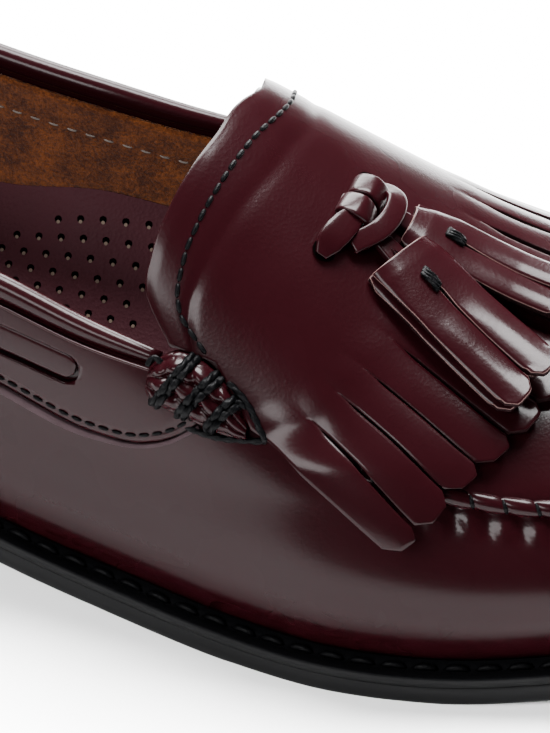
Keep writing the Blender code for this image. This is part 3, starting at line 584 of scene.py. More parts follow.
heel_s = sole_stations(HEEL_BREAST)
heel_edge = margin_at(heel_s) - HEEL_INSET


def heel_layer(share):
    """Height function of one share of the way up the heel, from its top piece to the outsole."""
    low = TOP_PIECE_THICK + FIT_GAP
    return lambda x: low + share * (sole_bottom(x) - FIT_GAP - low)


heel_rings = []
for lift in range(HEEL_LIFTS):
    for share, inset in ((0.03, 0.25), (0.10, 0.0), (0.90, 0.0), (0.97, 0.25)):
        up = (lift + share) / HEEL_LIFTS
        heel_rings.append(feather_ring(heel_s, heel_edge - HEEL_TAPER * (1 - up) - inset, heel_layer(up)))
heel = stack_of("heel_stack", heel_rings, edge_black)
hold(heel, "heel", "heel")

rubber = edge_material("black_rubber", (0.003, 0.003, 0.003), (0.006, 0.006, 0.006), 0.62)
tip_edge = heel_edge - HEEL_TAPER
tip_rings = [
    feather_ring(heel_s, tip_edge - 0.7, lambda x: 0 * x),
    feather_ring(heel_s, tip_edge, lambda x: 0.7 + 0 * x),
    feather_ring(heel_s, tip_edge, lambda x: TOP_PIECE_THICK - 0.3 + 0 * x),
    feather_ring(heel_s, tip_edge - 0.3, lambda x: TOP_PIECE_THICK + 0 * x),
]
top_piece = stack_of("heel_top_rubber", tip_rings, rubber)
hold(top_piece, "heel_top_piece", "heel_top_piece")


# The insole carries a sock of matt grained leather over foam. It cups the foot: its edge
# climbs the inner wall at the arch, less on the outer side. It is punched with small holes.
INSOLE_RISE = 2.4
INSOLE_EASE = 0.6
SockEdge = namedtuple("SockEdge", "s medial lateral")
SOCK_EDGE = [
    SockEdge(0, 5.0, 5.0), SockEdge(50, 8.0, 6.0), SockEdge(98, 15.0, 6.5), SockEdge(118, 23.0, 6.0),
    SockEdge(130, 23.0, 5.5), SockEdge(150, 17.0, 5.0), SockEdge(185, 6.0, 3.0), SockEdge(284, 0.5, 0.5),
]
SOCK_POWER = 1.9
SOCK_MIDDLE, SOCK_TAPER = np.array([140.0, 0.0]), np.array([0.985, 0.9])


def sock_surface(s, across):
    """Sock at station s, across from -1 (outer wall) to 1 (inner); its edge climbs by a power."""
    side = np.where(across > 0, MEDIAL, LATERAL)
    floor_z = along(LAST, "feather", s) + INSOLE_RISE
    climb = np.where(across > 0, along(SOCK_EDGE, "medial", s), along(SOCK_EDGE, "lateral", s))
    z = floor_z + climb * np.abs(across) ** SOCK_POWER
    middle = (half_widths(s, LATERAL)[0] + half_widths(s, MEDIAL)[0]) / 2
    wall = np.abs(on_side(s, side, z)[..., 1] - middle) - UPPER_WALL - INSOLE_EASE
    y = middle + across * np.maximum(wall, 0.02)
    return np.stack([s + counter_lean(s, z), y, z], -1)


sock_leather = leather(
    "sock_leather", (0.016, 0.0046, 0.0062), (0.027, 0.0088, 0.0115), 0.62, depth=0.00018, drift=60.0)
sock_s = np.concatenate([2.6 + 27.4 * (1 - np.cos(np.linspace(0, math.pi / 2, 20)))[:-1],
                         np.linspace(30, 242, 130), 242 + 39.3 * np.sin(np.linspace(0, math.pi / 2, 22))[1:]])
sock_across = np.sin(np.linspace(-math.pi / 2, math.pi / 2, 61))
sock_points = sock_surface(sock_s[:, None], sock_across[None] + 0 * sock_s[:, None])
under = sock_points.copy()
under[..., 2] = along(LAST, "feather", under[..., 0]) - WELT_THICK + FIT_GAP
under[..., :2] = SOCK_MIDDLE + (under[..., :2] - SOCK_MIDDLE) * SOCK_TAPER
rows, columns = sock_points.shape[:2]
top_faces = quads(rows, columns)
rim_index = np.concatenate([
    np.arange(columns), np.arange(1, rows) * columns + columns - 1,
    (rows - 1) * columns + np.arange(columns - 2, -1, -1), np.arange(rows - 2, 0, -1) * columns])
rim_next = np.roll(rim_index, -1)
total = rows * columns
rim_faces = np.stack([rim_index, rim_next, rim_next + total, rim_index + total], -1)
insole = new_piece(
    "insole_sock", np.concatenate([sock_points.reshape(-1, 3), under.reshape(-1, 3)]),
    np.concatenate([top_faces, top_faces[:, ::-1] + total, rim_faces]), sock_leather, closed=True)
hold(insole, "insole", "insole")


# The upper is one skin pulled down over the last. Its lines run from the opening, which is
# the collar and the tongue's rear edge, down to the feather edge under the welt. The skin is
# gathered into the apron seam, so small puckers stand below the seam all round the toe.
Collar = namedtuple("Collar", "s top roll")
COLLAR = [
    Collar(0, 85.0, 4.8), Collar(20, 84.0, 4.8), Collar(50, 77.5, 4.8), Collar(80, 70.5, 4.8),
    Collar(100, 66.5, 4.8), Collar(119, 62.4, 4.7), Collar(134, 58.6, 4.2), Collar(149, 55.6, 3.0),
]
COLLAR_END = 149.0
InnerCollar = namedtuple("InnerCollar", "s higher")
INNER_COLLAR = [InnerCollar(60, 0.0), InnerCollar(95, 1.0), InnerCollar(125, 2.4), InnerCollar(149, 2.2)]
Corner = namedtuple("Corner", "s z")
TONGUE_EDGE = [
    Corner(149.0, 52.3), Corner(155.0, 53.0), Corner(153.2, 56.5), Corner(149.0, 60.5),
    Corner(146.8, 65.0), Corner(146.0, 70.0), Corner(146.8, 76.0), Corner(148.6, 81.0),
]
THROAT_RIDGE = 150.2
TONGUE_SLANT = 3.0
OUTER_LEATHER = 1.05
ARCH_ROWS, SWELL_ROWS = 96, 12
FRONT_LINES = 158
REAR_STEP = 3.0
WALL_IN_ROLL = 1.5
APRON_NOSE = (265.0, 4.5)
ApronSide = namedtuple("ApronSide", "side rear start reach power")
APRON = [ApronSide(LATERAL, 166.0, 170.0, 44.8, 1.75), ApronSide(MEDIAL, 166.0, 196.0, 32.5, 1.9)]
PUCKER_PITCH = 5.8
PUCKER_DEPTH = 0.42
BELLY, BELLY_FOOT = 2.9, 1.7


def collar_top(s, side):
    """Top of the collar: a little higher on the inner side of the waist."""
    return along(COLLAR, "top", s) + np.where(side > 0, along(INNER_COLLAR, "higher", s), 0.0)


def wall_top(s, side):
    """Top of the upper's own wall, just under the collar roll."""
    return collar_top(s, side) - along(COLLAR, "roll", s) - FIT_GAP


def even_steps(line, count):
    """A line of points resampled to count points at even arc length."""
    run = arc_run(line)
    places = np.linspace(0, run[-1], count)
    return np.column_stack([np.interp(places, run, line[:, k]) for k in range(line.shape[1])])


def apron_line():
    """Plan line of the apron seam at even arc length: superellipse arcs that meet at the nose."""
    nose_s, nose_y = APRON_NOSE
    halves = []
    for row in APRON:
        turn = np.linspace(0, math.pi / 2, 300)
        s = row.start + (nose_s - row.start) * np.sin(turn) ** (2 / row.power)
        y = nose_y + row.side * row.reach * np.cos(turn) ** (2 / row.power)
        lead = np.linspace(row.rear, row.start, 40)[:-1]
        halves.append(np.column_stack([np.append(lead, s), np.append(0 * lead + y[0], y)]))
    line = np.concatenate([halves[0], halves[1][-2::-1]])
    return even_steps(line, 700)


APRON_LINE = apron_line()
APRON_RUN = arc_run(APRON_LINE)


def from_apron(s, y):
    """Plan distance from the apron seam, + outside it, and the arc length of the nearest place."""
    flat = np.column_stack([np.ravel(s), np.ravel(y)])
    distance = np.full(len(flat), 99.0)
    run = np.zeros(len(flat))
    near = np.flatnonzero(flat[:, 0] > 150)
    tangent = unit(np.gradient(APRON_LINE, axis=0))
    for part in np.array_split(near, 12):
        gap = flat[part, None] - APRON_LINE[None]
        reach = np.hypot(gap[..., 0], gap[..., 1])
        best = reach.argmin(1)
        here = gap[np.arange(len(part)), best]
        outside = here[:, 0] * tangent[best, 1] - here[:, 1] * tangent[best, 0]
        distance[part] = reach[np.arange(len(part)), best] * np.sign(outside)
        run[part] = APRON_RUN[best]
    return distance.reshape(np.shape(s)), run.reshape(np.shape(s))


def rear_lines(side):
    """Lines down the heel and one side, each at one station: even in height, then the swell."""
    heel = HEEL_ROUND * (1 - np.cos(np.linspace(0, math.pi / 2, 20)))
    s = np.concatenate([heel[:-1], np.arange(HEEL_ROUND, COLLAR_END, REAR_STEP)])[:, None]
    feather, rise = half_widths(s, side)[3], half_widths(s, side)[5]
    down = np.linspace(0, 1, ARCH_ROWS)[None]
    top = wall_top(s, side) + WALL_IN_ROLL
    z = top + (feather + rise - top) * down
    low = np.linspace(1, 0, SWELL_ROWS + 1)[None, 1:]
    return on_side(s, side, np.concatenate([z, feather + rise * low], 1))


def front_lines(side):
    """Lines from the tongue's edge over the vamp: straight in plan to the outline, then the swell."""
    slant = TONGUE_SLANT if side > 0 else 0.0
    edge_s = [row.s + slant * float(smooth(56, 72, row.z)) for row in TONGUE_EDGE]
    edge_z = [row.z for row in TONGUE_EDGE]
    start = on_side(np.array(edge_s), side, np.array(edge_z))
    ridge_y = float(half_widths(THROAT_RIDGE, side)[2])
    start = np.vstack([start, [THROAT_RIDGE, ridge_y, 0]])[:, :2]
    start = even_steps(start, FRONT_LINES)
    turn = np.linspace(0, math.pi / 2, 500)
    s = np.concatenate([np.linspace(COLLAR_END, LAST_LENGTH - TOE_ROUND, 300)[:-1],
                        LAST_LENGTH - TOE_ROUND + TOE_ROUND * np.sin(turn)])
    outline = even_steps(np.column_stack([s, half_widths(s, side)[1]]), FRONT_LINES)
    w = np.sin(np.linspace(0, math.pi / 2, 400))[None, :, None]
    plan = start[:, None] * (1 - w) + outline[:, None] * w
    dense = on_top(plan[..., 0], plan[..., 1])
    lines = np.stack([even_steps(line, ARCH_ROWS) for line in dense])
    foot, wide, ridge, feather, top, rise = half_widths(outline[:, :1], side)
    low = np.linspace(1, 0, SWELL_ROWS + 1)[None, 1:]
    y = foot + (wide - foot) * np.sin(low * math.pi / 2)
    swell = np.stack([outline[:, :1] + 0 * y, y, feather + rise * low], -1)
    return np.concatenate([lines, swell], 1)


def loop_normals(grid):
    """Outward normals of a closed grid of lines, from its neighbours both ways."""
    around = np.roll(grid, -1, axis=0) - np.roll(grid, 1, axis=0)
    down = np.gradient(grid, axis=1)
    normal = unit(np.cross(around, down))
    core = np.stack([grid[..., 0], 0 * grid[..., 1], 0 * grid[..., 2] + 25.0], -1)
    return normal * np.sign(((grid - core) * normal).sum(-1, keepdims=True))


outer_side = np.concatenate([rear_lines(LATERAL), front_lines(LATERAL)])
inner_side = np.concatenate([rear_lines(MEDIAL), front_lines(MEDIAL)])
upper_grid = np.concatenate([outer_side, inner_side[-2:0:-1]])
upper_normals = loop_normals(upper_grid)
gap, run = from_apron(upper_grid[..., 0], upper_grid[..., 1])
walled = smooth(190, 200, upper_grid[..., 0])
pucker = np.cos(2 * math.pi * run / PUCKER_PITCH) * PUCKER_DEPTH
steepness = np.clip(upper_normals[..., 2], 0.25, 1)
down_wall = gap / steepness
pucker_fade = smooth(0.3, 1.6, down_wall) * (1 - smooth(4.0, 9.5, down_wall))
groove = -0.5 * np.exp(-((down_wall - 0.6) / 1.5) ** 2) * (down_wall > -2)
pillow = 0.55 * np.exp(-((gap + 1.2) / 4.0) ** 2) * (gap < 0.4)
upper_lift = walled * (pucker * pucker_fade * (down_wall > 0) + groove + pillow)
over_welt = upper_grid[..., 2] - along(LAST, "feather", upper_grid[..., 0])
belly = smooth(70, 120, upper_grid[..., 0]) * (1 - smooth(225, 262, upper_grid[..., 0]))
swollen = BELLY_FOOT + (BELLY - BELLY_FOOT) * smooth(0.0, 10.0, over_welt)
swollen = swollen * (1 - smooth(9.0, 30.0, over_welt))
upper_lift = upper_lift + swollen * belly * (1 - smooth(0.55, 0.9, np.abs(upper_normals[..., 2])))
upper_points = upper_grid + upper_normals * upper_lift[..., None]
upper = new_piece(
    "upper_leather", upper_points, quads(*upper_grid.shape[:2], round_rows=True), polished)


def wall_inwards(piece, thickness, rim=None, outwards=False):
    """Solidify: an open skin gets its wall, with the cut edge in its own material."""
    mesh = piece.data
    work = bmesh.new()
    work.from_mesh(mesh)
    bmesh.ops.remove_doubles(work, verts=work.verts, dist=2e-6)
    bmesh.ops.recalc_face_normals(work, faces=work.faces)
    middle = to_frame((150.0, 0.0, 25.0))
    facing = sum(face.calc_area() * face.normal.dot(face.calc_center_median() - type(face.normal)(middle))
                 for face in work.faces)
    if facing < 0:
        bmesh.ops.reverse_faces(work, faces=work.faces)
    work.to_mesh(mesh)
    work.free()
    wall = piece.modifiers.new("wall", "SOLIDIFY")
    wall.thickness = thickness / 1000
    wall.offset = 1.0 if outwards else -1.0
    if rim:
        mesh.materials.append(rim)
        wall.material_offset_rim = 1
    return piece


wall_inwards(upper, OUTER_LEATHER)
hold(upper, "upper", "upper")

# The lining is tan suede in the quarters, sewn in with a pale thread a thumb's width below the
# collar, and goes down behind the edge of the sock.
SUEDE_DEEP = (0.022, 0.0044, 0.0007)
SUEDE_LIGHT = (0.105, 0.029, 0.0050)
LINING_GAP = 1.15
LINING_THICK = 0.7
LINING_SEAM = 8.0
LINING_DROP, LINING_FRONT = 1.6, 50.7
LINING_ROW = 9


def make_suede():
    """Suede: a long soft nap, its tone pushed about by a wide noise and a very fine one."""
    material, tree, shader = new_finish("tan_suede", 0.95, 0.05)
    place = wire(tree, "ShaderNodeTexCoord").outputs["Object"]
    brushed = wire(tree, "ShaderNodeTexNoise", ("Vector", place), Scale=170.0, Detail=6.0, Roughness=0.75)
    nap = wire(tree, "ShaderNodeTexNoise", ("Vector", place), Scale=1500.0, Detail=4.0, Roughness=0.8)
    both = wire(
        tree, "ShaderNodeMath", (0, brushed.outputs["Fac"]), (1, nap.outputs["Fac"]), operation="MULTIPLY")
    spread = wire(tree, "ShaderNodeMapRange", ("Value", both.outputs[0]), From_Min=0.17, From_Max=0.36)
    two_tones(tree, shader, spread.outputs["Result"], SUEDE_DEEP, SUEDE_LIGHT, nap.outputs["Fac"], 0.0007)
    shader.inputs["Sheen Weight"].default_value = 0.03
    return material


suede = make_suede()


def both_sides(one_side):
    """Stations from the outer front corner round the heel to the inner one, and their sides."""
    s = np.concatenate([one_side[:0:-1], one_side])
    side = np.where(np.arange(len(s)) < len(one_side) - 1, LATERAL, MEDIAL)
    return s[:, None], side[:, None]


def heel_steps(end, step):
    """Stations from the heel's back to end: cosine steps round the heel, then even ones."""
    heel = HEEL_ROUND * (1 - np.cos(np.linspace(0, math.pi / 2, 24)))
    return np.concatenate([heel[:-1], np.linspace(HEEL_ROUND, end, round((end - HEEL_ROUND) / step))])


def strip_normals(grid):
    """Outward normals of an open grid on the sides and the heel."""
    normal = unit(np.cross(np.gradient(grid, axis=0), np.gradient(grid, axis=1)))
    return normal * np.sign(((grid - (90.0, 0.0, 60.0)) * normal).sum(-1, keepdims=True))


s, side = both_sides(heel_steps(162.0, 2.0))
lining_top = np.where(s < COLLAR_END, wall_top(np.minimum(s, COLLAR_END), side) - LINING_DROP, LINING_FRONT)
lining_low = along(LAST, "feather", s) + INSOLE_RISE - 2
z = lining_top + (lining_low - lining_top) * np.linspace(0, 1, 26)[None]
lining_grid = on_side(s + 0 * z, side, z)
lining_grid = lining_grid - strip_normals(lining_grid) * LINING_GAP
lining = new_piece("quarter_lining", lining_grid, quads(*z.shape), suede)
wall_inwards(lining, LINING_THICK)
hold(lining)


def stitches(name, middles, runs, ups, length, radius, material, lift=0.0, sag=0.25):
    """One joined mesh of stitches: capsules along runs, bent down at their ends by sag."""
    rings, sides = 7, 8
    u = np.linspace(-1, 1, rings)
    phi = np.linspace(0, 2 * math.pi, sides, endpoint=False)
    thick = np.sqrt(np.clip(1 - np.abs(u) ** 3, 0.0, 1)) * radius
    across = unit(np.cross(runs, ups))
    along_part = runs[:, None] * (u * length / 2)[None, :, None]
    dip = ups[:, None] * (lift - sag * u**2)[None, :, None]
    centre = middles[:, None] + along_part + dip
    round_part = (
        across[:, None, None] * (np.cos(phi)[None, None, :, None] * thick[None, :, None, None])
        + ups[:, None, None] * (np.sin(phi)[None, None, :, None] * thick[None, :, None, None])
    )
    points = (centre[:, :, None] + round_part).reshape(len(middles), -1, 3)
    one = quads(rings, sides, round_columns=True)
    faces = (one[None] + np.arange(len(middles))[:, None, None] * rings * sides).reshape(-1, 4)
    return new_piece(name, points, faces, material, closed=True)


def stitch_places(line, normals, pitch, length):
    """Middles, directions and normals of stitches every pitch along a line of points."""
    run = arc_run(line)
    places = np.arange(pitch / 2, run[-1], pitch)
    def at(values, where):
        return np.column_stack([np.interp(where, run, values[:, k]) for k in range(3)])
    ahead, behind = at(line, places + length / 2), at(line, places - length / 2)
    return (ahead + behind) / 2, unit(ahead - behind), unit(at(normals, places))


seam_z = lining_top - LINING_SEAM
seam_line = on_side(s[:, 0], side[:, 0], seam_z[:, 0])
seam_normals = strip_normals(lining_grid)[:, LINING_ROW]
seam_line = seam_line - seam_normals * (LINING_GAP + LINING_THICK + 0.02)
middles, runs, ups = stitch_places(seam_line, -seam_normals, 3.5, 2.7)
lining_stitches = stitches("lining_stitches", middles, runs, ups, 2.3, 0.2, pale_thread, lift=0.1)
hold(lining_stitches)


# The quarter overlay wraps the heel and both sides. Its lower edge is skived and sewn down in
# a groove, and a long slot in each side shows the leather lace that runs round the collar.
Seam = namedtuple("Seam", "s z")
QUARTER_SEAM = [
    Seam(0, 62.0), Seam(40, 59.0), Seam(80, 53.0), Seam(120, 43.6), Seam(139, 39.3), Seam(148, 39.9),
    Seam(153.5, 42.4), Seam(158, 46.0),
]
QUARTER_END = 158.0
QUARTER_TIP, QUARTER_SHOULDER = 46.6, 53.1
QUARTER_LIFT = 0.35
QUARTER_WALL = 1.3
SLOT_REAR, SLOT_FRONT, SLOT_RADIUS = (97.0, 56.6), (132.6, 50.3), 2.8
QUARTER_STITCH_INSET = 1.5
SLOT_REACH = 90.0

s, side = both_sides(heel_steps(QUARTER_END, 1.2))
share = np.linspace(0, 1, 34)[None]
quarter_top, quarter_low = wall_top(s, side) + 0.8, along(QUARTER_SEAM, "z", s)
to_tip = (QUARTER_END - s) / (QUARTER_END - COLLAR_END)
quarter_top = np.where(s > COLLAR_END, QUARTER_TIP + (QUARTER_SHOULDER - QUARTER_TIP) * to_tip, quarter_top)
z = quarter_top + (quarter_low - quarter_top) * share
quarter_base = on_side(s + 0 * z, side, z)
quarter_normals = strip_normals(quarter_base)
above_edge = z - quarter_low
stitch_groove = 0.3 * np.exp(-((above_edge - QUARTER_STITCH_INSET) / 0.6) ** 2)
skived = -0.55 * (1 - smooth(0.0, 1.1, above_edge)) - stitch_groove
quarter_grid = quarter_base + quarter_normals * (QUARTER_LIFT + QUARTER_WALL + skived)[..., None]
quarter = new_piece("quarter_overlay", quarter_grid, quads(*z.shape), polished)
wall_inwards(quarter, QUARTER_WALL)

slope = math.atan2(SLOT_FRONT[1] - SLOT_REAR[1], SLOT_FRONT[0] - SLOT_REAR[0])
turn = np.linspace(-math.pi / 2, math.pi / 2, 21) + slope
round_end = SLOT_RADIUS * np.column_stack([np.cos(turn), np.sin(turn)])
slot_outline = np.concatenate([SLOT_FRONT + round_end, SLOT_REAR - round_end])
prism = np.stack([
    np.column_stack([slot_outline[:, 0], 0 * slot_outline[:, 0] + y, slot_outline[:, 1]])
    for y in (-SLOT_REACH, SLOT_REACH)])
slot_cutter = new_piece("slot_cutter", prism, quads(2, len(slot_outline), round_columns=True), None)
work = bmesh.new()
work.from_mesh(slot_cutter.data)
bmesh.ops.holes_fill(work, edges=work.edges)
bmesh.ops.recalc_face_normals(work, faces=work.faces)
work.to_mesh(slot_cutter.data)
work.free()
slot_cut = quarter.modifiers.new("slots", "BOOLEAN")
slot_cut.operation = "DIFFERENCE"
slot_cut.solver = "EXACT"
slot_cut.object = slot_cutter


def apply_modifiers(piece):
    """Make a piece's evaluated mesh its own, and drop its modifiers."""
    done = bpy.data.meshes.new_from_object(piece.evaluated_get(bpy.context.evaluated_depsgraph_get()))
    piece.modifiers.clear()
    piece.data = done
    return piece


apply_modifiers(quarter)
bpy.data.objects.remove(slot_cutter)
hold(quarter, "upper", "quarter")

LACE_HALF = 2.25
LACE_LIFT = 0.35
LACE_THICK = 1.0
STRAP_SIDES = 20


def strap(name, middles, across, ups, half, thick, material):
    """Flat strap along middles: a superellipse section, half wide and thick high, drawn in at its ends."""
    phi = np.linspace(0, 2 * math.pi, STRAP_SIDES, endpoint=False)
    wide, high = (np.sign(wave) * np.abs(wave) ** 0.45 for wave in (np.cos(phi), np.sin(phi)))
    half, thick = (np.broadcast_to(size, len(middles))[:, None, None] for size in (half, thick))
    rings = middles[:, None] + across[:, None] * (wide[None, :, None] * half)
    return tube(name, sealed(rings + ups[:, None] * ((high[None, :, None] + 1) * thick / 2)), material)


for side_sign, place in ((LATERAL, "lateral"), (MEDIAL, "medial")):
    skin = wall_of(side_sign)
    ends = np.array([SLOT_REAR, SLOT_FRONT])
    run = np.linspace(-0.055, 1.055, 40)[:, None]
    lace_s, lace_z = (ends[0] + (ends[1] - ends[0]) * run).T
    middles = lifted(skin, lace_s, lace_z, LACE_LIFT)
    ups = normals_of(skin, lace_s, lace_z)
    along_run = unit(np.gradient(middles, axis=0))
    half = LACE_HALF * np.sqrt(1 - np.clip((np.abs(run[:, 0] - 0.5) - 0.51) / 0.05, 0, 0.98) ** 2)
    lace = strap("collar_lace_" + place, middles, np.cross(along_run, ups), ups, half, LACE_THICK, polished)
    hold(lace, "lace", "lace_" + place)

seam_z = quarter_low[:, 0] + QUARTER_STITCH_INSET
seam_line = on_side(s[:, 0], side[:, 0], seam_z)
seam_ups = strip_normals(quarter_base)[:, -3]
seam_line = seam_line + seam_ups * (QUARTER_LIFT + QUARTER_WALL - 0.2)
middles, runs, ups = stitch_places(seam_line, seam_ups, 2.6, 2.0)
quarter_stitches = stitches("quarter_stitches", middles, runs, ups, 2.3, 0.36, black_thread, lift=0.05)
hold(quarter_stitches)

# Below the quarter's edge the skin under it is turned up into a thin lip, which catches the light; its leather
# is coloured paler and greyer than the rest as a painted highlight.
LIP_HALF = 0.8
# Painted highlight: the lip's paler, greyer tones stand in for the light that its turned edge catches.
painted_highlight_lip = leather("painted_highlight_lip", (0.007, 0.0036, 0.0042), (0.022, 0.014, 0.016), 0.4, grain=900.0, drift=260.0)
lip_z = along(QUARTER_SEAM, "z", s)[:, 0] - 0.95
lip_base = on_side(s[:, 0], side[:, 0], lip_z)
lip_ups = strip_normals(quarter_base)[:, -1]
lip_run = unit(np.gradient(lip_base, axis=0))
lip_across = np.cross(lip_run, lip_ups)
lip_fade = 1 - smooth(128.0, 150.0, s[:, 0]) * 0.5
lip = strap(
    "quarter_lip", lip_base + lip_ups * 0.02, lip_across, lip_ups,
    LIP_HALF * lip_fade, 1.7 * lip_fade, painted_highlight_lip)
hold(lip, "upper")


# The collar is bound with leather folded over a cord. A crease runs along its outer side,
# where the fold is pulled down on the quarter.
ROLL_SIDES = 36
s, side = both_sides(heel_steps(COLLAR_END, 1.8))
s, side = s[:, 0], side[:, 0]
roll_half = along(COLLAR, "roll", s) / 2 * np.where(side > 0, 0.93, 1.0)
roll_middle = on_side(s, side, collar_top(s, side) - roll_half)
run = unit(np.gradient(roll_middle, axis=0))
inward = unit(np.cross(run, (0.0, 0.0, 1.0)))
inward = inward * -np.sign((inward * (roll_middle - (90.0, 0.0, 60.0))).sum(1, keepdims=True))
roll_up = np.cross(run, inward)
roll_up = roll_up * np.sign(roll_up[:, 2:])
roll_middle = roll_middle + inward * UPPER_WALL / 2
phi = np.linspace(0, 2 * math.pi, ROLL_SIDES, endpoint=False)
crease = 1 - 0.03 * np.exp(-((np.angle(np.exp(1j * (phi - math.radians(170)))) / 0.3) ** 2))
wide = np.cos(phi) * crease * 0.95
high = np.sin(phi) * crease
rings = (
    roll_middle[:, None]
    + inward[:, None] * (wide[None, :, None] * roll_half[:, None, None])
    + roll_up[:, None] * (high[None, :, None] * roll_half[:, None, None])
)
collar = tube("collar_binding", sealed(rings), polished)
hold(collar, "collar", "collar_roll")


# The apron is joined to the side wall by hand: the wall's edge is drawn up over the apron's in
# a roll, and each pull of the thread nips the roll into a short bean.
SEAM_HALF = 1.75
SEAM_RISE = 1.7
SEAM_FROM = 187.0
seam_part = APRON_LINE[APRON_LINE[:, 0] > SEAM_FROM]
seam_arc = APRON_RUN[APRON_LINE[:, 0] > SEAM_FROM]
seam_plan = even_steps(seam_part, 640)
seam_arc = np.linspace(seam_arc[0], seam_arc[-1], len(seam_plan))
seam_skin = on_top(seam_plan[:, 0], seam_plan[:, 1])
seam_ups = normals_of(on_top, seam_plan[:, 0], seam_plan[:, 1])
seam_run = unit(np.gradient(seam_skin, axis=0))
seam_out = np.cross(seam_run, seam_ups)
psi = np.linspace(-0.15, math.pi + 0.15, 15)
phase = seam_arc[:, None] / PUCKER_PITCH + 0.16 * np.cos(psi)[None]
nip = np.abs(np.sin(math.pi * phase)) ** 0.45
fullness = 0.62 + 0.38 * nip
cross = -np.cos(psi)[None] * SEAM_HALF * (0.8 + 0.2 * nip)
height = np.sin(psi).clip(-0.1, 1)[None] * SEAM_RISE * fullness - 0.25
seam_rings = (
    seam_skin[:, None] + seam_out[:, None] * (cross - 0.2)[..., None] + seam_ups[:, None] * height[..., None])
apron_seam = tube("apron_seam_roll", sealed(seam_rings), polished)
hold(apron_seam, "upper", "apron_seam")

nip_arcs = np.arange(math.ceil(seam_arc[0] / PUCKER_PITCH), seam_arc[-1] / PUCKER_PITCH) * PUCKER_PITCH


def along_seam(values):
    return np.column_stack([np.interp(nip_arcs, seam_arc, values[:, k]) for k in range(3)])


nip_middles = along_seam(seam_skin + seam_ups * (SEAM_RISE * 0.62 - 0.15))
nip_runs = unit(along_seam(seam_out) + 0.45 * along_seam(seam_run))
seam_thread = stitches(
    "apron_seam_thread", nip_middles, nip_runs, unit(along_seam(seam_ups)), 3.2, 0.42, black_thread, sag=0.7)
hold(seam_thread)


# The kiltie is one flap of the same leather over tongue and vamp. A line of black stitches
# follows its rear edge, and its front is cut into strips with clipped tips, which curl a little
# away from the vamp and show a paler cut edge.
Strip = namedtuple("Strip", "rear_q start_s start_q tip_s tip_q lift lift_by")
STRIPS = [
    Strip(46.3, 167.5, 51.3, 195.0, 57.0, 2.6, 0.35),
    Strip(40.0, 177.0, 44.3, 199.5, 51.0, 2.6, 0.50),
    Strip(34.1, 180.0, 37.8, 203.0, 43.4, 2.4, 0.80),
    Strip(28.7, 183.0, 31.8, 207.0, 37.0, 1.8, 1.00),
    Strip(22.1, 186.0, 24.5, 211.0, 30.0, 1.2, 1.00),
    Strip(16.0, 188.5, 17.7, 214.0, 22.0, 1.0, 1.00),
    Strip(9.9, 190.5, 11.0, 216.0, 13.5, 1.0, 1.00),
    Strip(3.6, 192.0, 4.0, 217.5, 4.8, 1.0, 1.00),
]
KiltieEdge = namedtuple("KiltieEdge", "q s")
KILTIE_EDGE = [
    KiltieEdge(0, 149.2), KiltieEdge(8, 148.9), KiltieEdge(16, 147.3), KiltieEdge(25, 145.7),
    KiltieEdge(34, 144.9), KiltieEdge(40, 145.4), KiltieEdge(46.3, 151.2),
]
KILTIE_LIFT = 0.45
KILTIE_WALL = 1.5
KILTIE_WAIST_SHARE = 44.6 / 51.3
STRIP_GAP, INNER_STRIP_GAP = 0.8, 1.5
STRIP_CROWN = 0.22
TIP_CLIP = 1.9
COLUMNS_A_STRIP = 12
BODY_ROWS, STRIP_ROWS = 60, 44


def kiltie_lines(share, line):
    """Station, girth and lift at share (0 rear edge, 1 waist, 2 start of the cuts, 3 tip) of line.

    line counts across the kiltie from its outer edge; between two cuts the rows are mixed."""
    rows = [(row, -1.0) for row in STRIPS] + [(row, 1.0) for row in STRIPS[::-1]]
    index = np.arange(len(rows))
    def column(values):
        return np.interp(line, index, values)
    rear_q = column([side * row.rear_q for row, side in rows])
    start_q = column([side * row.start_q for row, side in rows])
    tip_q = column([side * row.tip_q for row, side in rows])
    rear_s = along(KILTIE_EDGE, "s", np.abs(rear_q)) + TONGUE_SLANT * smooth(-5, 13, rear_q)
    start_s = column([row.start_s for row, side in rows])
    tip_s = column([row.tip_s for row, side in rows])
    tip_lift = column([row.lift for row, side in rows])
    lift_by = column([row.lift_by for row, side in rows])
    t = np.clip(share - np.array([0.0, 1.0, 2.0])[:, None, None], 0, 1)
    waist_s, waist_q = (rear_s + start_s) / 2, start_q * KILTIE_WAIST_SHARE
    s = rear_s + (waist_s - rear_s) * t[0] + (start_s - waist_s) * t[1] + (tip_s - start_s) * t[2]
    q = rear_q + (waist_q - rear_q) * t[0] + (start_q - waist_q) * t[1] + (tip_q - start_q) * t[2]
    return s, q, KILTIE_LIFT + (tip_lift - KILTIE_LIFT) * smooth(0, 1, t[2] / lift_by)


def edge_dress(share):
    """Height added at the rear edge: the rounded corner, and the groove that the stitches lie in."""
    from_edge = np.clip(share, 0, 2) * 12.0
    return -0.16 * (1 - smooth(0, 1.2, from_edge)) - 0.22 * np.exp(-((from_edge - 5.8) / 0.9) ** 2)


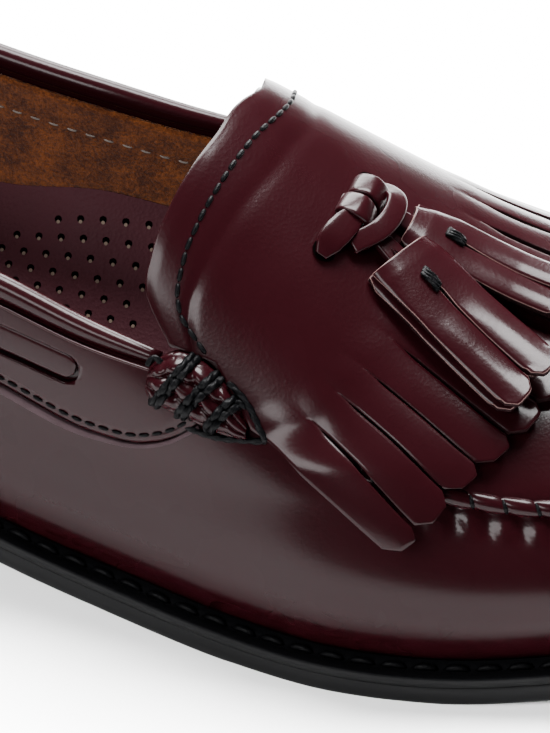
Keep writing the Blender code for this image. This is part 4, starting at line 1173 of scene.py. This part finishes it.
strips = 2 * len(STRIPS) - 1
body_lines = np.linspace(0, strips, strips * COLUMNS_A_STRIP + 1)[None]
body_share = np.concatenate([np.linspace(0, 0.6, 24)[:-1], np.linspace(0.6, 2, BODY_ROWS - 23)])[:, None]
s, q, lift = kiltie_lines(body_share, body_lines)
crown = STRIP_CROWN * (1 - (2 * (body_lines % 1) - 1) ** 2) * smooth(1.7, 2.0, body_share)
body = lifted(on_girth, s, q, lift + edge_dress(body_share) + crown)
points = [body.reshape(-1, 3)]
faces = [quads(*s.shape)]
count = s.size
waver = np.random.default_rng(7).uniform(-0.25, 0.45, (strips, 2))
across = np.linspace(0, 1, COLUMNS_A_STRIP + 1)
for k in range(strips):
    share = np.linspace(2, 3, STRIP_ROWS)[:, None]
    slit = (STRIP_GAP if k < 8 else INNER_STRIP_GAP) / 2 / 6.3 * smooth(2.0, 2.2, share)
    line = k + slit + across[None] * (1 - 2 * slit)
    s, q, lift = kiltie_lines(share, line)
    corner = np.maximum(np.abs(2 * across - 1) - 0.48, 0) / 0.52
    s = s - TIP_CLIP * corner[None] * smooth(2.35, 3.0, share) * 1.1
    curl = (waver[k, 0] * (1 - across)[None] + waver[k, 1] * across[None]) * smooth(2.2, 3.0, share)
    crown = STRIP_CROWN * (1 - (2 * across[None] - 1) ** 2)
    strip_points = lifted(on_girth, s, q, lift + crown + curl)
    root = (len(body_share) - 1) * body_lines.size + k * COLUMNS_A_STRIP
    index = np.concatenate([
        root + np.arange(COLUMNS_A_STRIP + 1)[None],
        count + np.arange((STRIP_ROWS - 1) * (COLUMNS_A_STRIP + 1)).reshape(STRIP_ROWS - 1, -1)])
    faces.append(np.stack([index[:-1, :-1], index[:-1, 1:], index[1:, 1:], index[1:, :-1]], -1).reshape(-1, 4))
    points.append(strip_points[1:].reshape(-1, 3))
    count += strip_points[1:].size // 3
kiltie = new_piece("kiltie_flap", np.concatenate(points), np.concatenate(faces), polished)
edge_dark = leather("cut_edge_dark", (0.003, 0.001, 0.0012), (0.006, 0.0024, 0.0028), 0.6, depth=0.00012)


def cut_from_hide(piece, thickness, corner=0.16):
    """Give a cut piece its thickness, dark cut sides and a thin pale line at the cut's corners."""
    wall_inwards(piece, thickness, rim=edge_dark, outwards=True)
    piece.data.materials.append(raw_edge)
    bevel = piece.modifiers.new("corner", "BEVEL")
    bevel.width = corner / 1000
    bevel.segments = 1
    bevel.limit_method = "ANGLE"
    bevel.angle_limit = math.radians(55)
    bevel.material = 2
    return piece


cut_from_hide(kiltie, KILTIE_WALL, 0.24)
hold(kiltie, "fringe", "kiltie")

StitchPoint = namedtuple("StitchPoint", "s q")
KILTIE_STITCHES = [
    StitchPoint(154.7, 0.0), StitchPoint(154.5, 3.0), StitchPoint(153.2, 10.7), StitchPoint(151.0, 23.7),
    StitchPoint(150.2, 30.0), StitchPoint(150.3, 37.5), StitchPoint(152.0, 41.0), StitchPoint(157.5, 44.2),
]
turns = np.linspace(0, len(KILTIE_STITCHES) - 1, 120)
stitch_s, stitch_q = (
    np.interp(turns, np.arange(len(KILTIE_STITCHES)), column) for column in zip(*KILTIE_STITCHES))
stitch_s = np.concatenate([stitch_s[:0:-1], stitch_s])
stitch_q = np.concatenate([-stitch_q[:0:-1], stitch_q])
stitch_s = stitch_s + TONGUE_SLANT * smooth(-5, 13, stitch_q)
line = lifted(on_girth, stitch_s, stitch_q, KILTIE_LIFT + KILTIE_WALL - 0.05)
ups = normals_of(on_girth, stitch_s, stitch_q, 1.0)
middles, runs, ups = stitch_places(line, ups, 2.8, 2.4)
kiltie_stitches = stitches("kiltie_stitches", middles, runs, ups, 2.9, 0.43, black_thread, lift=0.16)
hold(kiltie_stitches)


# The beef roll is the bunched end of the vamp's edge: pleats run along it, and three wraps of
# heavy waxed thread whip it down, tied off at their lower ends.
Roll = namedtuple("Roll", "s z half rise")
BEEF_ROLL = [
    Roll(148.0, 51.2, 2.4, 1.2), Roll(149.6, 51.6, 3.8, 3.2), Roll(152.0, 52.0, 4.8, 4.2),
    Roll(156.0, 51.4, 5.0, 4.4), Roll(160.5, 49.6, 4.3, 4.0), Roll(164.0, 47.8, 3.1, 3.1),
    Roll(166.8, 46.0, 1.4, 1.4),
]
ROLL_PLEATS = 3.5
ROLL_WRAPS = [(149.8, 155.8), (154.8, 160.4), (160.2, 164.4)]
CORD_RADIUS, CORD_TWIST = 0.64, 2.4


def roll_surface(side, s, v):
    """Beef roll at station s, v from -1 (low edge) to 1: a crowned, pleated lump nipped by its wraps."""
    nipped = 0
    for low, high in ROLL_WRAPS:
        nipped = nipped + np.exp(-(((s - (low + high) / 2) - v * (low - high) / 2) / 0.9) ** 2)
    crowned = (1 - np.abs(v) ** 2.6).clip(0, 1) ** 0.6
    pleat = 0.72 + 0.28 * np.abs(np.cos(math.pi * ROLL_PLEATS * (v + 0.05 * np.sin(s * 1.3)) / 2)) ** 0.6
    rise = along(BEEF_ROLL, "rise", s) * crowned * (pleat - 0.16 * nipped) + 0.1
    z = along(BEEF_ROLL, "z", s) + v * along(BEEF_ROLL, "half", s)
    return lifted(wall_of(side), s, z, rise + 0.9)


def cord(name, line, ups, radius, material):
    """Twisted three-strand cord along a line of points: a tube whose lobed section turns as it goes."""
    run = arc_run(line)
    forward = unit(np.gradient(line, axis=0))
    across = unit(np.cross(forward, ups))
    over = np.cross(across, forward)
    phi = np.linspace(0, 2 * math.pi, 18, endpoint=False)[None]
    lobes = radius * (1 + 0.17 * np.cos(3 * phi - run[:, None] * 2 * math.pi / CORD_TWIST))
    end = np.minimum(run, run[-1] - run)
    lobes = lobes * np.sqrt(np.clip(1 - (1 - np.clip(end / radius, 0, 1)) ** 2, 0.02, 1))[:, None]
    rings = line[:, None] + across[:, None] * (np.cos(phi) * lobes)[..., None]
    return tube(name, rings + over[:, None] * (np.sin(phi) * lobes)[..., None], material)


def joined(name, pieces):
    """One object from several of one material."""
    work = bmesh.new()
    for piece in pieces:
        work.from_mesh(piece.data)
    mesh = bpy.data.meshes.new(name)
    work.to_mesh(mesh)
    work.free()
    mesh.materials.append(pieces[0].data.materials[0])
    for piece in pieces:
        bpy.data.objects.remove(piece)
    return new_object(name, mesh)


def curve_through(points, count=60):
    """Smooth line through a few points, at count even steps."""
    points = np.array(points, float)
    knots = arc_run(points)
    return cubic(knots, points, np.linspace(0, knots[-1], count))


# The rest of the thread: its tail, the hook round the front, and short links along the top.
LooseCord = namedtuple("LooseCord", "places count lift share")
LOOSE_CORDS = [
    LooseCord(
        [(146.8, 44.8), (151, 45.4), (156, 44.6), (161, 44.0), (166, 44.4), (170.5, 44.9)], 60, 0.7, 0.9),
    LooseCord([(162.0, 53.2), (164.8, 51.4), (167.2, 49.2), (169.0, 47.0), (170.6, 45.1)], 60, 2.3, 0.85),
]
for k in range(6):
    link_s, link_z = 149.0 + 3.1 * k, 55.0 - k
    link = [(link_s - 1.3, link_z - 1.1), (link_s, link_z + 0.5), (link_s + 1.6, link_z - 0.4)]
    LOOSE_CORDS.append(LooseCord(link, 16, 2.5, 0.8))

for side_sign, place in ((LATERAL, "lateral"), (MEDIAL, "medial")):
    skin = wall_of(side_sign)
    roll_s = np.linspace(BEEF_ROLL[0].s, BEEF_ROLL[-1].s, 96)
    roll_v = np.linspace(-1, 1, 61)[None]
    lump = roll_surface(side_sign, roll_s[:, None] + 0 * roll_v, roll_v + 0 * roll_s[:, None])
    foot = lifted(skin, roll_s, along(BEEF_ROLL, "z", roll_s), -0.3)[:, None]
    lump = sealed(np.concatenate([foot, lump, foot], 1))
    roll = new_piece("beef_roll_" + place + "_leather", lump, quads(*lump.shape[:2]), polished, closed=True)
    hold(roll, "upper", "beef_roll_" + place)
    cords = []
    v = np.linspace(-1.12, 1.05, 50)
    held = np.clip(v, -1, 1)
    for low, high in ROLL_WRAPS:
        for twin in (-0.5, 0.5):
            wrap_s = (low + high) / 2 - v * (low - high) / 2 + twin * 1.05
            wrap_half = along(BEEF_ROLL, "half", wrap_s)
            base = roll_surface(side_sign, wrap_s, held)
            base[:, 2] += (v - held) * wrap_half
            normal = normals_of(skin, wrap_s, along(BEEF_ROLL, "z", wrap_s) + v * wrap_half)
            cords.append(cord("wrap", base + normal * CORD_RADIUS * 0.55, normal, CORD_RADIUS, black_thread))
    for loose in LOOSE_CORDS:
        cord_s, cord_z = curve_through(loose.places, loose.count).T
        line, ups = lifted(skin, cord_s, cord_z, loose.lift), normals_of(skin, cord_s, cord_z)
        cords.append(cord("loose", line, ups, CORD_RADIUS * loose.share, black_thread))
    hold(joined("beef_roll_" + place + "_thread", cords))


# The bow is tied in a flat lace of the upper's leather: two wraps, a loose rounded end, and a
# band across the two necks that the tassels hang from. It comes up through a punched hole.
ON_KILTIE = KILTIE_LIFT + KILTIE_WALL + 0.35


def lace_strap(name, places, rises, half, thick, spread=None):
    """Lace laid over the kiltie through (s, q) places, standing off by rises, half wide to each side."""
    line = curve_through([(s, q, rise) for (s, q), rise in zip(places, rises)], 44)
    middles = lifted(on_girth, line[:, 0], line[:, 1], ON_KILTIE + line[:, 2])
    forward = unit(np.gradient(middles, axis=0))
    skin = normals_of(on_girth, line[:, 0], line[:, 1], 1.0)
    across = unit(np.cross(forward, skin))
    if spread is not None:
        half = half * np.interp(np.linspace(0, 1, len(line)), np.linspace(0, 1, len(spread)), spread)
    ups = np.cross(across, forward)
    return strap(name, middles, across, ups, half, thick, polished)


knot_parts = [
    lace_strap("wrap_far", [(171.4, -2.4), (171.5, -2.4), (173.3, -2.4), (175.2, -2.6), (175.4, -2.6)],
               [-0.9, 1.3, 2.5, 1.4, -0.9], 2.5, 1.2),
    lace_strap("wrap_near", [(170.9, -7.5), (171.0, -7.5), (172.8, -7.7), (174.8, -7.5), (175.0, -7.5)],
               [-0.9, 1.3, 2.6, 1.4, -0.9], 2.5, 1.2),
    lace_strap("loose_end", [(172.6, -9.4), (171.9, -12.2), (171.1, -15.4), (170.7, -18.4)],
               [1.6, 1.5, 1.0, -0.2], 2.5, 1.25, [0.8, 1.0, 1.05, 0.95, 0.45]),
    lace_strap("crossing", [(174.6, 1.2), (177.0, -1.5), (177.6, -5.4), (176.9, -9.6), (174.4, -13.6)],
               [0.0, 2.6, 3.1, 2.7, 0.3], 1.95, 1.3),
    lace_strap("neck_far", [(175.6, -2.6), (178.4, -2.6), (181.4, -2.4), (184.0, -2.2)],
               [0.2, 0.1, 0.1, 0.1], 1.9, 1.3, [1.0, 0.95, 1.1, 1.2]),
    lace_strap("neck_near", [(175.2, -8.2), (178.2, -9.8), (181.2, -11.0), (184.6, -12.4)],
               [0.3, 0.5, 0.7, 0.7], 2.0, 1.6, [1.0, 0.95, 1.1, 1.2]),
]
knot = joined("tassel_knot_lace", knot_parts)
hold(knot, "lace", "tassel_knot")


def dark_spots(name, surface, places, radius, height, material):
    """Flat round spots on a surface, at places (u, v): a fan of 12 points each."""
    points, faces = [], []
    for u, v in places:
        normal = normals_of(surface, np.array([u]), np.array([v]), 0.01)[0]
        normal = normal * np.sign(normal[2])
        here = surface(np.array([u]), np.array([v]))[0] + normal * height
        first = unit(np.cross(normal, (0.3, 1.0, 0.1)))
        second = np.cross(normal, first)
        turn = np.linspace(0, 2 * math.pi, 12, endpoint=False)[:, None]
        base = len(points)
        points.extend(here + radius * (np.cos(turn) * first + np.sin(turn) * second))
        faces.append([base + k for k in range(12)])
    mesh = bpy.data.meshes.new(name)
    mesh.from_pydata(to_frame(points).tolist(), [], faces)
    mesh.materials.append(material)
    return new_object(name, mesh)


# Painted shade: the punched holes are not cut but drawn as flat near-black discs, the shade inside each hole.
hole_painted_shade = leather("hole_shadow", (0.0004, 0.0003, 0.0003), (0.0006, 0.0004, 0.0004), 0.9, specular=0.0)
lace_holes = dark_spots(
    "lace_holes", on_girth, [(172.6, 1.5), (170.9, -17.2)], 2.2, KILTIE_LIFT + KILTIE_WALL + 0.3, hole_painted_shade)
hold(lace_holes)


# A tassel is two layers of leather folded over the lace and tacked with a bar of black thread;
# below the tack each layer is slit into two tails with clipped tips.
Tail = namedtuple("Tail", "s q half lift")
TASSEL_NEAR = [
    Tail(181.6, -10.6, 6.5, 2.5), Tail(184.0, -11.6, 6.8, 2.8), Tail(188.0, -13.4, 6.9, 2.9),
    Tail(193.0, -15.5, 6.8, 2.9), Tail(200.0, -18.0, 6.7, 3.4), Tail(206.0, -20.2, 6.6, 4.1),
    Tail(211.0, -22.0, 6.5, 4.8),
]
TASSEL_FAR = [
    Tail(181.0, -2.4, 4.2, 0.9), Tail(184.0, -2.2, 5.2, 1.5), Tail(188.0, -2.0, 5.5, 1.8),
    Tail(193.0, -1.8, 5.5, 1.9), Tail(200.0, -1.6, 5.4, 2.3), Tail(206.0, -1.6, 5.3, 3.0),
    Tail(211.0, -1.6, 5.3, 3.6),
]
TAIL_WALL = 1.25
SLIT_SHARE = 0.34


def tassel_layer(name, rows, low, across_shift, longer, skew):
    """One layer of a tassel: two tails joined above the slit, low by that much, with clipped tips."""
    run = np.linspace(0, 1, 56)[:, None]
    where = run * (len(rows) - 1)
    def column(key):
        return np.interp(where, np.arange(len(rows)), [getattr(row, key) for row in rows])
    s, q, half, lift = (column(key) for key in ("s", "q", "half", "lift"))
    forward = np.array([rows[-1].s - rows[0].s, rows[-1].q - rows[0].q])
    forward = forward / np.hypot(*forward)
    points, faces, count = [], [], 0
    for tail_side in (-1, 1):
        v = np.linspace(0, 1, 10)[None]
        slit = 0.05 * smooth(SLIT_SHARE, SLIT_SHARE + 0.06, run)
        v_here = tail_side * (slit + v * (1 - slit))
        clip = np.maximum(np.abs(2 * v - 1) - 0.5, 0) / 0.5 * 2.1 * smooth(0.86, 1.0, run)
        ahead = longer * run * (1 + skew * tail_side) - clip
        place_s = s + forward[0] * ahead - forward[1] * v_here * half + across_shift * -forward[1]
        place_q = q + forward[1] * ahead + forward[0] * v_here * half + across_shift * forward[0]
        bow = 0.55 * (1 - (2 * v - 1) ** 2) * smooth(SLIT_SHARE, 0.7, run)
        bow = bow + 0.5 * (1 - v_here**2) * (1 - run)
        shoulder = -1.4 * np.abs(v_here) ** 4 * (1 - smooth(0.0, 0.5, run))
        height = ON_KILTIE + lift - low + bow + shoulder + 0.35 * tail_side * smooth(0.5, 1.0, run)
        points.append(lifted(on_girth, place_s, place_q, np.maximum(height, ON_KILTIE)).reshape(-1, 3))
        faces.append(quads(*place_s.shape) + count)
        count += place_s.size
    piece = new_piece(name, np.concatenate(points), np.concatenate(faces), polished)
    mesh = bmesh.new()
    mesh.from_mesh(piece.data)
    bmesh.ops.remove_doubles(mesh, verts=mesh.verts, dist=4e-5)
    mesh.to_mesh(piece.data)
    mesh.free()
    return cut_from_hide(piece, TAIL_WALL, 0.12)


hold(tassel_layer("tassel_lateral_front", TASSEL_NEAR, 0.0, 0.0, 0.0, 0.0), "fringe", "tassel_lateral")
hold(tassel_layer("tassel_lateral_back", TASSEL_NEAR, 1.7, -0.9, -1.0, 0.4), "fringe")
hold(tassel_layer("tassel_medial_front", TASSEL_FAR, 0.0, 0.0, 0.0, 0.0), "fringe", "tassel_medial")
hold(tassel_layer("tassel_medial_back", TASSEL_FAR, 1.5, 1.2, 0.8, -0.3), "fringe")

tacks = []
for name, (s0, q0), (s1, q1), lift in (
        ("near_tack", (185.4, -13.0), (189.2, -14.4), 3.2), ("far_tack", (186.4, -1.6), (190.0, -1.9), 1.9)):
    for nudge in (-0.6, 0.0, 0.6):
        tack = curve_through([(s0, q0 + nudge), ((s0 + s1) / 2, (q0 + q1) / 2 + nudge), (s1, q1 + nudge)], 24)
        arch = 0.35 * np.sin(np.linspace(0, math.pi, 24))
        line = lifted(on_girth, tack[:, 0], tack[:, 1], ON_KILTIE + lift + TAIL_WALL + 0.35 + arch)
        tacks.append(cord(name, line, normals_of(on_girth, tack[:, 0], tack[:, 1], 1.0), 0.42, black_thread))
hold(joined("tassel_tacks", tacks))


# The welt is sewn down with heavy black thread in a groove close to the upper.
WELT_STITCH_INSET = 3.0
welt_s = sole_stations()
welt_line = feather_ring(welt_s, margin_at(welt_s) - WELT_STITCH_INSET, below_feather(-0.35))
welt_line = welt_line[np.concatenate([[True], np.linalg.norm(np.diff(welt_line, axis=0), axis=1) > 1e-6])]
middles, runs, ups = stitch_places(welt_line, 0 * welt_line + (0.0, 0.0, 1.0), 5.6, 4.6)
welt_stitches = stitches("welt_stitches", middles, runs, ups, 5.2, 0.7, black_thread, lift=0.25, sag=0.6)
hold(welt_stitches)


# The sock is punched with rows of small holes under the arch, drawn as flat near-black discs of painted shade;
# the pale foam shows in each.
HOLE_PITCH = 4.1
HOLE_ROWS = 15
foam = leather("pale_foam", (0.05, 0.036, 0.028), (0.09, 0.07, 0.056), 0.9, specular=0.0)
hole_places = []
for row_number in range(HOLE_ROWS):
    row_across = 0.89 - 0.077 * row_number
    first_s = 109.5 - 9.0 * min(row_number, 1) + HOLE_PITCH / 2 * (row_number % 2)
    for hole_s in np.arange(first_s, 128.5, HOLE_PITCH):
        hole_places.append((hole_s, row_across + 0.0034 * row_across * (hole_s - 116.0)))
sock_holes = dark_spots("sock_holes", sock_surface, hole_places, 0.68, 0.06, hole_painted_shade)
hold(sock_holes)
sock_foam = dark_spots(
    "sock_foam", sock_surface, [(hole_s + 0.1, hole_y - 0.011) for hole_s, hole_y in hole_places],
    0.34, 0.1, foam)
hold(sock_foam)
